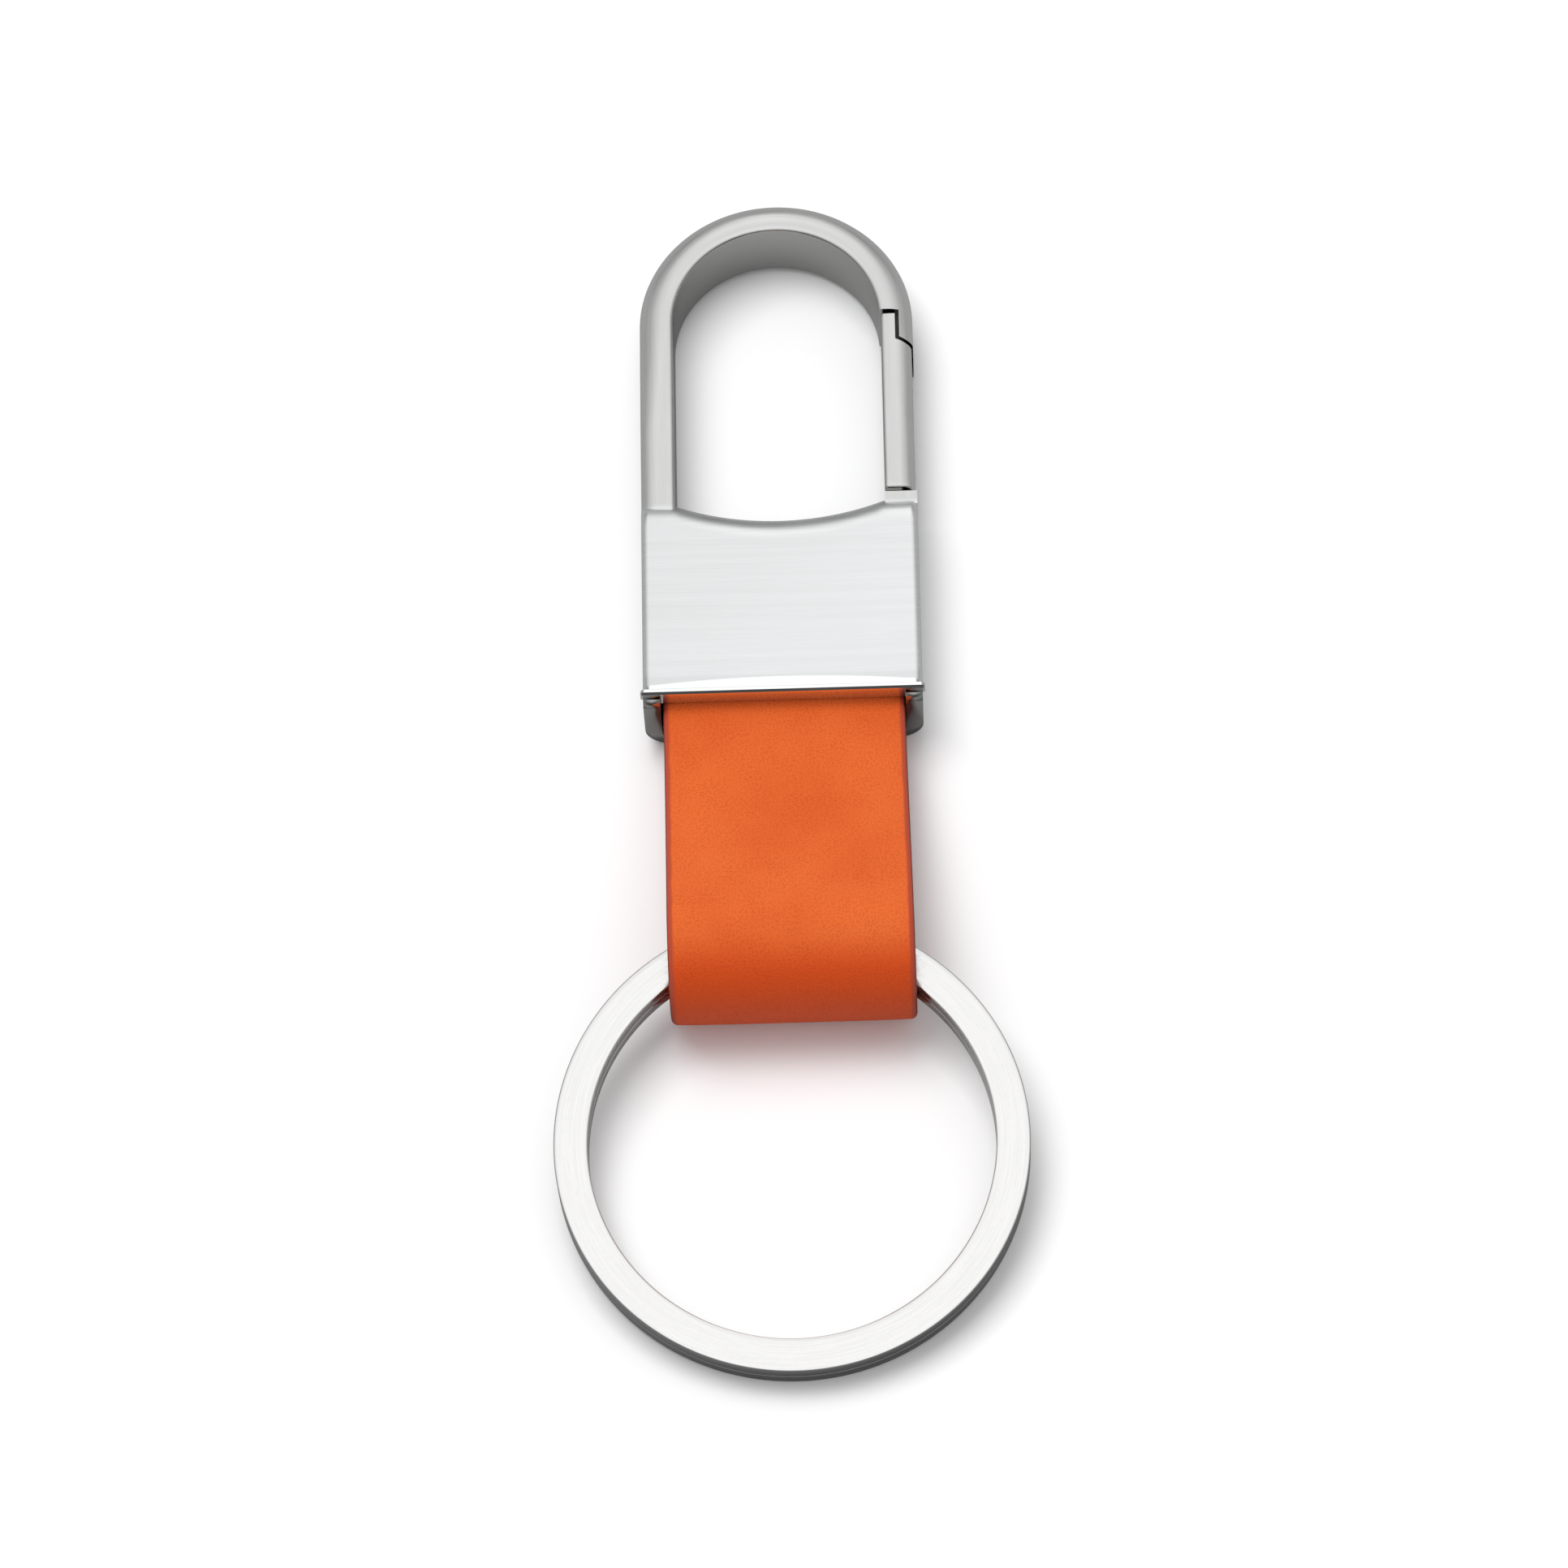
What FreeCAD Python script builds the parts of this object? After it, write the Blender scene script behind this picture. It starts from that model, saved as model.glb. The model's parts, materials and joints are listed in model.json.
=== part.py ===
"""Carabiner keyring: a cast hook with a sprung gate, a leather strap clamped in its foot, and a split ring.

Millimetres. The keyring lies on its back: +Z up, +Y towards the hook's crown, +X on the gate's side.
The origin is the centre of the block's flat back face.
"""

import FreeCAD, Part
import math
import os
import Sketcher
from FreeCAD import Placement, Rotation, Vector

SIZES = {
    # block at the foot of the hook
    "block_width": 18.0,
    "block_bottom": -7.25,
    "block_top": 7.25,
    "top_hollow_radius": 19.5,
    "top_rounding": 1.1,
    "side_rounding": 0.5,
    "face_height": 5.95,
    "face_dish": 0.25,
    "lip_height": 6.2,
    "lip_rise": 0.5,
    "lip_run": 1.3,
    "lip_proud": 0.15,
    "lip_tall": 0.45,
    "flare_root": 0.4,
    "flare_back": 4.7,
    "tab_top": 7.55,
    "tab_front": 5.35,
    "back_rounding": 0.3,
    "back_corner": 2.0,
    # hook arch
    "hook_back": 0.4,
    "hook_front": 5.5,
    "band": 2.2,
    "arch_y": 20.8,
    "inner_arch_drop": 0.2,
    "leg_root": 7.0,
    "outer_rounding": 1.05,
    "inner_rounding": 0.35,
    "nose_tip_y": 18.7,
    "nose_slant": 0.38,
    "nose_lip": 0.88,
    "nose_stock": 0.3,
    "notch_bottom": 17.2,
    "notch_top": 21.15,
    # strap and the room for it in the block
    "strap_width": 15.6,
    "face_leather": 0.85,
    "lining_leather": 0.65,
    "strap_middle": 3.0,
    "leaf_gap": 0.05,
    "strap_top": 0.8,
    "pocket_side": 0.1,
    "pocket_gap": 0.05,
    "pocket_top": 1.1,
    "seat_overlap": 0.1,
    "flex_y": -11.6,
    "fold_y": -25.0,
    "fold_z": 4.6,
    "flex_clearance": 0.1,
    # back plate
    "plate_thick": 1.35,
    "plate_room": 1.4,
    "plate_half": 6.9,
    "plate_top": 6.5,
    "plate_gap": 0.05,
    "flange_thick": 0.45,
    "flange_inner": 7.9,
    "flange_front": 5.5,
    "flange_slope": 0.42,
    # clamp screws
    "screw_x": 4.2,
    "screw_y": -2.75,
    "post_radius": 1.3,
    "post_hole": 1.4,
    "post_top": 4.95,
    "screw_radius": 0.75,
    "screw_bore": 0.78,
    "screw_bore_top": 4.5,
    "screw_reach": 4.4,
    "screw_passage": 0.85,
    "head_radius": 1.45,
    "head_sink": 1.55,
    "head_tall": 0.7,
    "head_recess": 0.06,
    "slot_width": 0.35,
    "slot_deep": 0.3,
    # gate, its pin and its spring
    "gate_inner": 6.9,
    "gate_outer": 8.9,
    "gate_back": 0.5,
    "gate_front": 5.4,
    "gate_bottom": 7.85,
    "gate_outer_rounding": 0.8,
    "gate_inner_rounding": 0.3,
    "tongue_outer": 7.85,
    "tongue_top": 20.95,
    "tongue_rounding": 0.42,
    "shoulder_inner_y": 18.95,
    "shoulder_outer_y": 18.5,
    "pin_x": 7.45,
    "pin_y": 6.6,
    "pin_radius": 0.55,
    "pin_bore": 0.56,
    "gate_bore": 0.6,
    "pin_top": 5.15,
    "pin_chamfer": 0.12,
    "pin_spare": 0.05,
    "knuckle_radius": 0.95,
    "neck_half": 0.55,
    "neck_root": 0.4,
    "foot_back": 1.75,
    "foot_front": 4.25,
    "cheek": 0.55,
    "slot_back": 1.65,
    "slot_front": 4.35,
    "slot_reach": 1.15,
    "slot_outer": 1.05,
    "spring_wire": 0.28,
    "spring_radius": 0.85,
    "spring_pitch": 0.3,
    "spring_turns": 3.0,
    "spring_base": 2.6,
    "spring_upper_leg": 1.1,
    "spring_lower_leg": 0.95,
    # split ring
    "ring_outer": 15.0,
    "ring_inner": 12.85,
    "wire_tall": 1.2,
    "coil_gap": 0.05,
    "ring_reach": 12.95,
    "ring_tilt": 6.95,
    "jog_angle": 23.0,
}
JOG_SECTIONS = 7
# how far a cutting tool runs past the material, and how far from a face an edge may lie and still be picked
OVERCUT = 1.0
EDGE_REACH = 2.0
FACE_TOLERANCE = 0.05

doc = FreeCAD.newDocument("carabiner_keyring")
sheet = doc.addObject("Spreadsheet::Sheet", "dims")
for row, (alias, number) in enumerate(SIZES.items(), start=1):
    sheet.set(f"A{row}", alias)
    sheet.set(f"B{row}", str(number))
    sheet.setAlias(f"B{row}", alias)
doc.recompute()
sub_parts = []


# ---- helpers -------------------------------------------------------------------------------------


def size(expression):
    """The number that an expression over the sheet stands for, in millimetres or degrees."""
    number = sheet.evalExpression(str(expression))
    return float(getattr(number, "Value", number))


def bind(thing, **expressions):
    """Binds properties to expressions; a double underscore in a name stands for a dot."""
    for name, expression in expressions.items():
        thing.setExpression(name.replace("__", "."), str(expression))
    return thing


def keep(thing, label):
    """Marks a finished object as a sub-part that is written to a file of that name."""
    thing.Label = label
    sub_parts.append(thing)
    return thing


def body(name):
    return doc.addObject("PartDesign::Body", name)


def sketch(owner, name, plane, offset=None):
    """An empty sketch on one of the body's origin planes, raised along its normal by an expression."""
    drawing = owner.newObject("Sketcher::SketchObject", name)
    origin_plane = [f for f in owner.Origin.OriginFeatures if f.Role == plane]
    drawing.AttachmentSupport = [(origin_plane[0], "")]
    drawing.MapMode = "FlatFace"
    if offset is not None:
        drawing.setExpression(".AttachmentOffset.Base.z", str(offset))
    return drawing


def arc_between(start, end, radius, turn):
    """The shorter arc from start to end; turn is +1 when it runs anticlockwise and -1 when clockwise."""
    chord = end - start
    left = Vector(-chord.y, chord.x, 0).normalize()
    middle = (start + end) * 0.5
    centre = middle + left * (turn * math.sqrt(max(radius**2 - chord.Length**2 / 4, 0.0)))
    first, last = (start, end) if turn > 0 else (end, start)
    angles = [math.atan2(p.y - centre.y, p.x - centre.x) for p in (first, last)]
    return Part.ArcOfCircle(Part.Circle(centre, Vector(0, 0, 1), radius), angles[0], angles[1])


def outline(drawing, corners):
    """Adds a closed outline.

    A corner is (x, y) where a line leaves it, or (x, y, radius, turn) where an arc does.
    """
    points = [Vector(size(c[0]), size(c[1]), 0) for c in corners]
    ends = []
    for i, corner in enumerate(corners):
        start, end = points[i], points[(i + 1) % len(points)]
        if len(corner) == 2:
            side = drawing.addGeometry(Part.LineSegment(start, end))
            ends.append((side, 1, 2))
            continue
        radius, turn = corner[2:]
        side = drawing.addGeometry(arc_between(start, end, size(radius), turn))
        ends.append((side, 1, 2) if turn > 0 else (side, 2, 1))
        rule = drawing.addConstraint(Sketcher.Constraint("Radius", side, size(radius)))
        drawing.setExpression(f"Constraints[{rule}]", str(radius))
    for i, (side, first, _) in enumerate(ends):
        before, _, last = ends[i - 1]
        drawing.addConstraint(Sketcher.Constraint("Coincident", before, last, side, first))
    for i, (side, first, _) in enumerate(ends):
        for kind, place, expression in (
            ("DistanceX", points[i].x, corners[i][0]),
            ("DistanceY", points[i].y, corners[i][1]),
        ):
            rule = drawing.addConstraint(Sketcher.Constraint(kind, -1, 1, side, first, place))
            drawing.setExpression(f"Constraints[{rule}]", str(expression))
    return drawing


def rectangle(drawing, x0, y0, x1, y1):
    return outline(drawing, [(x0, y0), (x1, y0), (x1, y1), (x0, y1)])


def circle(drawing, x, y, radius):
    ring = drawing.addGeometry(Part.Circle(Vector(size(x), size(y), 0), Vector(0, 0, 1), size(radius)))
    rules = (
        (Sketcher.Constraint("Radius", ring, size(radius)), radius),
        (Sketcher.Constraint("DistanceX", -1, 1, ring, 3, size(x)), x),
        (Sketcher.Constraint("DistanceY", -1, 1, ring, 3, size(y)), y),
    )
    for rule, expression in rules:
        drawing.setExpression(f"Constraints[{drawing.addConstraint(rule)}]", str(expression))
    return drawing


def pad(owner, drawing, length, symmetric=False):
    feature = owner.newObject("PartDesign::Pad", drawing.Name + "_pad")
    feature.Profile = drawing
    feature.SideType = "Symmetric" if symmetric else "One side"
    bind(feature, Length=length)
    doc.recompute()
    return feature


def pocket(owner, drawing, length, reverse=False, symmetric=False):
    """Cuts the drawing away, and stops if nothing was cut."""
    before = owner.Shape.Volume
    feature = owner.newObject("PartDesign::Pocket", drawing.Name + "_pocket")
    feature.Profile = drawing
    feature.Reversed = reverse
    feature.SideType = "Symmetric" if symmetric else "One side"
    bind(feature, Length=length)
    doc.recompute()
    if owner.Shape.Volume >= before:
        raise RuntimeError(f"{drawing.Name} cut nothing")
    return feature


def edges(shape, test):
    """Names of the edges whose sample points, short of both ends, all pass the test."""
    chosen = []
    for i, edge in enumerate(shape.Edges, start=1):
        if all(test(p) for p in edge.discretize(7)[1:-1]):
            chosen.append(f"Edge{i}")
    if not chosen:
        raise RuntimeError("no edge found to round")
    return chosen


def fillet(owner, base, radius, test):
    feature = owner.newObject("PartDesign::Fillet", base.Name + "_fillet")
    feature.Base = (base, edges(base.Shape, test))
    bind(feature, Radius=radius)
    doc.recompute()
    return feature


def chamfer(owner, base, width, test):
    feature = owner.newObject("PartDesign::Chamfer", base.Name + "_chamfer")
    feature.Base = (base, edges(base.Shape, test))
    bind(feature, Size=width)
    doc.recompute()
    return feature


def near(a, b):
    return abs(a - b) < 1e-4


def box(name, x0, y0, z0, x1, y1, z1):
    """A box between two corners, each given as expressions."""
    block = doc.addObject("Part::Box", name)
    bind(block, Length=f"({x1}) - ({x0})", Width=f"({y1}) - ({y0})", Height=f"({z1}) - ({z0})")
    return place(block, x0, y0, z0)


def place(thing, x, y, z):
    return bind(thing, Placement__Base__x=x, Placement__Base__y=y, Placement__Base__z=z)


def cylinder(name, radius, x, y, z0, z1):
    post = doc.addObject("Part::Cylinder", name)
    bind(post, Radius=radius, Height=f"({z1}) - ({z0})")
    return place(post, x, y, z0)


def cone(name, low_radius, high_radius, x, y, z0, z1):
    taper = doc.addObject("Part::Cone", name)
    bind(taper, Radius1=low_radius, Radius2=high_radius, Height=f"({z1}) - ({z0})")
    return place(taper, x, y, z0)


def fuse(name, pieces):
    joined = doc.addObject("Part::MultiFuse", name)
    joined.Shapes = pieces
    joined.Refine = True
    return joined


def cut(name, base, tool):
    result = doc.addObject("Part::Cut", name)
    result.Base = base
    result.Tool = tool
    doc.recompute()
    if result.Shape.Volume >= base.Shape.Volume:
        raise RuntimeError(f"{name} cut nothing")
    return result


def group(name, pieces):
    together = doc.addObject("Part::Compound", name)
    together.Links = pieces
    return together


HALF = "dims.block_width / 2"
BOTTOM = "dims.block_bottom"
INNER = f"({HALF} - dims.band)"
INNER_ARCH_Y = "(dims.arch_y - dims.inner_arch_drop)"
HALF_STACK = "(dims.face_leather + dims.lining_leather + dims.leaf_gap)"
SCREW_SIDES = {"left": "-dims.screw_x", "right": "dims.screw_x"}


# ---- hook body: the casting ----------------------------------------------------------------------


def block_blank():
    """The block with its hollow top edge, dished face and the flare that rises to the lip."""
    block = body("block_blank")
    drawing = outline(
        sketch(block, "block_outline", "XY_Plane"),
        [
            (f"-{HALF}", BOTTOM),
            (HALF, BOTTOM),
            (HALF, "dims.block_top"),
            (INNER, "dims.block_top", "dims.top_hollow_radius", -1),
            (f"-{INNER}", "dims.block_top"),
            (f"-{HALF}", "dims.block_top"),
        ],
    )
    pad(block, drawing, "dims.lip_height")
    crown = f"(dims.lip_height + {OVERCUT})"
    chord_half = f"({HALF} + {OVERCUT})"
    dish_radius = f"(({HALF})^2 / (2 * dims.face_dish) + dims.face_dish / 2)"
    dish_rise = f"({dish_radius} - sqrt({dish_radius}^2 - {chord_half}^2))"
    rim = f"(dims.face_height - dims.face_dish + {dish_rise})"
    dish = outline(
        sketch(block, "dish", "XZ_Plane"),
        [
            (f"-{chord_half}", rim, dish_radius, 1),
            (chord_half, rim),
            (chord_half, crown),
            (f"-{chord_half}", crown),
        ],
    )
    face = pocket(block, dish, "4 * dims.block_top", symmetric=True)
    top_wall = size("dims.block_top") - EDGE_REACH
    front = size("dims.face_height - dims.face_dish") - FACE_TOLERANCE

    def top_edge(p):
        return p.y > top_wall and p.z > front and not side_edge(p)

    rounded = fillet(block, face, "dims.top_rounding", top_edge)
    below_front = front - size("dims.side_rounding")
    fillet(block, rounded, "dims.side_rounding", lambda p: side_edge(p) and p.z > below_front)
    for name, half, far in (
        ("flare", HALF, "dims.lip_run + dims.flare_root"),
        ("lip", f"({HALF} + dims.lip_proud)", "dims.lip_tall"),
    ):
        wedge = outline(
            sketch(block, name, "YZ_Plane"),
            [
                (BOTTOM, "dims.flare_back"),
                (f"{BOTTOM} + {far}", "dims.flare_back"),
                (f"{BOTTOM} + {far}", f"dims.lip_height - ({far}) * dims.lip_rise / dims.lip_run"),
                (BOTTOM, "dims.lip_height"),
            ],
        )
        pad(block, wedge, f"2 * ({half})", symmetric=True)
    tab = rectangle(sketch(block, "tab", "XY_Plane"), "dims.gate_inner", "dims.pin_y", HALF, "dims.tab_top")
    pad(block, tab, "dims.tab_front")
    return block


def back_waste():
    """Everything outside the two rounded back edges of the block and its cover, to cut both to one line."""
    waste = body("back_waste")
    beyond = f"({HALF} + {OVERCUT})"
    flat_half = f"({HALF} - dims.back_corner)"
    drawing = outline(
        sketch(waste, "cradle", "XZ_Plane"),
        [
            (f"-{beyond}", f"-{OVERCUT}"),
            (beyond, f"-{OVERCUT}"),
            (beyond, "dims.back_corner"),
            (HALF, "dims.back_corner", "dims.back_corner", -1),
            (flat_half, "0"),
            (f"-{flat_half}", "0", "dims.back_corner", -1),
            (f"-{HALF}", "dims.back_corner"),
            (f"-{beyond}", "dims.back_corner"),
        ],
    )
    pad(waste, drawing, "2 * (dims.tab_top + dims.flange_thick)", symmetric=True)
    return waste


def side_edge(p):
    """True on the two long sides of the block's face."""
    return near(abs(p.x), size(HALF))


def arch_blank():
    """The round arch with its straight leg and its nose."""
    arch = body("arch_blank")
    drawing = outline(
        sketch(arch, "arch_outline", "XY_Plane", "dims.hook_back"),
        [
            (HALF, "dims.nose_tip_y - dims.nose_stock"),
            (HALF, "dims.arch_y", HALF, 1),
            ("0", f"dims.arch_y + {HALF}", HALF, 1),
            (f"-{HALF}", "dims.arch_y"),
            (f"-{HALF}", "dims.leg_root"),
            (f"-{INNER}", "dims.leg_root"),
            (f"-{INNER}", INNER_ARCH_Y, INNER, -1),
            ("0", f"{INNER_ARCH_Y} + {INNER}", INNER, -1),
            (INNER, INNER_ARCH_Y),
            (INNER, "dims.nose_tip_y - dims.nose_stock"),
        ],
    )
    blank = pad(arch, drawing, "dims.hook_front - dims.hook_back")
    half, inner = size(HALF), size(INNER)
    arch_y, inner_y = size("dims.arch_y"), size(INNER_ARCH_Y)
    front, back = size("dims.hook_front"), size("dims.hook_back")

    def outer_side(p):
        return near(abs(p.x), half) if p.y < arch_y else near(math.hypot(p.x, p.y - arch_y), half)

    def inner_side(p):
        return near(abs(p.x), inner) if p.y < inner_y else near(math.hypot(p.x, p.y - inner_y), inner)

    tip = fillet(arch, blank, "dims.outer_rounding", lambda p: near(p.z, front) and outer_side(p))
    tip = fillet(arch, tip, "dims.inner_rounding", lambda p: near(p.z, front) and inner_side(p))
    fillet(arch, tip, "dims.back_rounding", lambda p: near(p.z, back) and (outer_side(p) or inner_side(p)))
    lip_inner = f"({HALF} - dims.nose_lip)"
    beyond = f"({HALF} + {OVERCUT})"
    slant = "dims.nose_slant / dims.nose_lip"
    notch = outline(
        sketch(arch, "notch", "XY_Plane"),
        [
            (f"{INNER} - {OVERCUT}", "dims.notch_top"),
            (f"{INNER} - {OVERCUT}", "dims.notch_bottom"),
            (beyond, "dims.notch_bottom"),
            (beyond, f"dims.nose_tip_y - {OVERCUT} * {slant}"),
            (lip_inner, "dims.nose_tip_y + dims.nose_slant"),
            (lip_inner, "dims.notch_top"),
        ],
    )
    pocket(arch, notch, "2 * dims.hook_front", symmetric=True)
    return arch


def hook_body(waste):
    posts = [
        cylinder(f"{side}_post", "dims.post_radius", x, "dims.screw_y", "dims.plate_room", "dims.post_top")
        for side, x in SCREW_SIDES.items()
    ]
    pocket_half = "(dims.strap_width / 2 + dims.pocket_side)"
    front_wall = f"dims.strap_middle + {HALF_STACK} + dims.pocket_gap"
    hollow = box(
        "strap_pocket",
        f"-{pocket_half}",
        f"{BOTTOM} - {OVERCUT}",
        "dims.plate_room - dims.seat_overlap",
        pocket_half,
        "dims.pocket_top",
        front_wall,
    )
    plate_seat = box(
        "plate_seat",
        "-(dims.plate_half + dims.plate_gap)",
        f"{BOTTOM} - {OVERCUT}",
        f"-{OVERCUT}",
        "dims.plate_half + dims.plate_gap",
        "dims.plate_top + dims.plate_gap",
        "dims.plate_room",
    )
    gate_slot = box(
        "gate_slot",
        "dims.pin_x - dims.slot_reach",
        "dims.pin_y - dims.slot_reach",
        "dims.slot_back",
        "dims.pin_x + dims.slot_outer",
        f"dims.tab_top + {OVERCUT}",
        "dims.slot_front",
    )
    pin_spot = ("dims.pin_x", "dims.pin_y")
    bore_foot = "dims.plate_room - dims.seat_overlap"
    pin_hole = cylinder("pin_hole", "dims.pin_bore", *pin_spot, bore_foot, "dims.pin_top + dims.pin_spare")
    bores = [
        cylinder(f"{side}_bore", "dims.screw_bore", x, "dims.screw_y", bore_foot, "dims.screw_bore_top")
        for side, x in SCREW_SIDES.items()
    ]
    shell = cut("hook_shell", fuse("square_shell", [block_blank(), arch_blank()]), waste)
    open_shell = cut("open_shell", shell, fuse("rooms", [hollow, plate_seat, gate_slot, pin_hole]))
    with_posts = fuse("shell_with_posts", [open_shell, *posts])
    keep(cut("hook", with_posts, fuse("bores", bores)), "hook_body")


# ---- back plate, screws --------------------------------------------------------------------------


def back_plate(waste):
    """The cover behind the strap, with a thin flange that closes the block's foot beside the strap."""
    plate = body("plate_blank")
    side = "dims.plate_half"
    shoulder = f"({BOTTOM} - dims.plate_gap)"
    foot = f"({shoulder} - dims.flange_thick)"
    foot_corners = [(f"-{HALF}", foot), (HALF, foot), (HALF, shoulder)]
    flat = outline(
        sketch(plate, "plate_outline", "XY_Plane"),
        foot_corners
        + [
            (side, shoulder),
            (side, "dims.plate_top"),
            (f"-{side}", "dims.plate_top"),
            (f"-{side}", shoulder),
            (f"-{HALF}", shoulder),
        ],
    )
    pad(plate, flat, "dims.plate_thick")
    flange = rectangle(sketch(plate, "flange", "XY_Plane"), f"-{HALF}", foot, HALF, shoulder)
    pad(plate, flange, "dims.flange_front")
    channel = rectangle(
        sketch(plate, "channel", "XY_Plane", "dims.plate_thick"),
        "-dims.flange_inner",
        f"{foot} - {OVERCUT}",
        "dims.flange_inner",
        f"{shoulder} + {OVERCUT}",
    )
    open_flange = pocket(plate, channel, "dims.flange_front", reverse=True)
    front, low = size("dims.flange_front"), size(foot)
    chamfer(plate, open_flange, "dims.flange_slope", lambda p: near(p.z, front) and near(p.y, low))
    sinks = []
    passage = "dims.screw_passage"
    for name, x in SCREW_SIDES.items():
        spot = (x, "dims.screw_y")
        sinks.append(cylinder(f"{name}_passage", passage, *spot, f"-{OVERCUT}", "dims.plate_room"))
        sinks.append(cone(f"{name}_sink", "dims.head_sink", passage, *spot, "0", "dims.head_tall"))
    keep(cut("plate", plate, fuse("plate_waste", [waste, *sinks])), "back_plate")


def clamp_screws():
    """Two countersunk screws with a plain slot, driven from behind into the posts."""
    screws = []
    shank_radius = "dims.screw_radius"
    head_end = "dims.head_recess + dims.head_tall"
    for side, x in SCREW_SIDES.items():
        spot = (x, "dims.screw_y")
        head = cone(f"{side}_head", "dims.head_radius", shank_radius, *spot, "dims.head_recess", head_end)
        shank = cylinder(f"{side}_shank", shank_radius, *spot, head_end, "dims.screw_reach")
        slot = box(
            f"{side}_slot",
            f"{x} - dims.head_radius - {OVERCUT}",
            "dims.screw_y - dims.slot_width / 2",
            "0",
            f"{x} + dims.head_radius + {OVERCUT}",
            "dims.screw_y + dims.slot_width / 2",
            "dims.head_recess + dims.slot_deep",
        )
        screws.append(cut(f"{side}_screw", fuse(f"{side}_blank", [head, shank]), slot))
    keep(group("screws", screws), "clamp_screws")


# ---- gate, pin, spring ---------------------------------------------------------------------------


def gate():
    """The sprung bar: a tongue that laps under the nose, and a forked foot on the pin."""
    bar = body("gate_bar")
    curl = "dims.tongue_rounding"
    inner, outer = "dims.gate_inner", "dims.gate_outer"
    drawing = outline(
        sketch(bar, "gate_outline", "XY_Plane", "dims.gate_back"),
        [
            (inner, "dims.gate_bottom"),
            (outer, "dims.gate_bottom"),
            (outer, "dims.tongue_top"),
            (inner, "dims.tongue_top"),
        ],
    )
    blank = pad(bar, drawing, "dims.gate_front - dims.gate_back")
    front, back = size("dims.gate_front"), size("dims.gate_back")
    far, close = size(outer), size(inner)
    blank = fillet(bar, blank, "dims.gate_outer_rounding", lambda p: near(p.z, front) and near(p.x, far))
    blank = fillet(bar, blank, "dims.gate_inner_rounding", lambda p: near(p.z, front) and near(p.x, close))
    blank = fillet(bar, blank, "dims.gate_inner_rounding", lambda p: near(p.z, back) and near(p.x, far))
    slant = f"(dims.shoulder_inner_y - dims.shoulder_outer_y) / ({outer} - dims.tongue_outer)"
    shoulder = outline(
        sketch(bar, "shoulder", "XY_Plane"),
        [
            ("dims.tongue_outer", "dims.shoulder_inner_y"),
            (f"{outer} + {OVERCUT}", f"dims.shoulder_outer_y - {OVERCUT} * {slant}"),
            (f"{outer} + {OVERCUT}", f"dims.tongue_top + {OVERCUT}"),
            ("dims.tongue_outer", f"dims.tongue_top + {OVERCUT}"),
        ],
    )
    lapped = pocket(bar, shoulder, "3 * dims.gate_front", symmetric=True)
    top, tongue_outer = size("dims.tongue_top"), size("dims.tongue_outer")
    fillet(bar, lapped, curl, lambda p: near(p.y, top) and (near(p.x, close) or near(p.x, tongue_outer)))
    neck = "dims.neck_half"
    foot = outline(
        sketch(bar, "foot", "XY_Plane", "dims.foot_back"),
        [
            (f"dims.pin_x - {neck}", "dims.pin_y"),
            (f"dims.pin_x + {neck}", "dims.pin_y"),
            (f"dims.pin_x + {neck}", "dims.gate_bottom + dims.neck_root"),
            (f"dims.pin_x - {neck}", "dims.gate_bottom + dims.neck_root"),
        ],
    )
    pad(bar, foot, "dims.foot_front - dims.foot_back")
    knuckle = sketch(bar, "knuckle", "XY_Plane", "dims.foot_back")
    circle(knuckle, "dims.pin_x", "dims.pin_y", "dims.knuckle_radius")
    pad(bar, knuckle, "dims.foot_front - dims.foot_back")
    past_knuckle = f"(dims.knuckle_radius + {OVERCUT})"
    fork = rectangle(
        sketch(bar, "fork", "XY_Plane", "dims.foot_back + dims.cheek"),
        f"dims.pin_x - {past_knuckle}",
        f"dims.pin_y - {past_knuckle}",
        f"dims.pin_x + {past_knuckle}",
        "dims.gate_bottom",
    )
    pocket(bar, fork, "dims.foot_front - dims.foot_back - 2 * dims.cheek", reverse=True)
    bore = circle(sketch(bar, "bore", "XY_Plane"), "dims.pin_x", "dims.pin_y", "dims.gate_bore")
    pocket(bar, bore, "3 * dims.gate_front", symmetric=True)
    keep(bar, "gate")


def gate_pin():
    """The pivot pin, with a chamfer at both ends."""
    pin = body("pin_body")
    foot = "(dims.plate_room + dims.pin_spare)"
    section = sketch(pin, "pin_section", "XY_Plane", foot)
    circle(section, "dims.pin_x", "dims.pin_y", "dims.pin_radius")
    blank = pad(pin, section, f"dims.pin_top - {foot}")
    ends = (size(foot), size("dims.pin_top"))
    chamfer(pin, blank, "dims.pin_chamfer", lambda p: near(p.z, ends[0]) or near(p.z, ends[1]))
    keep(pin, "gate_pin")


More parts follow.
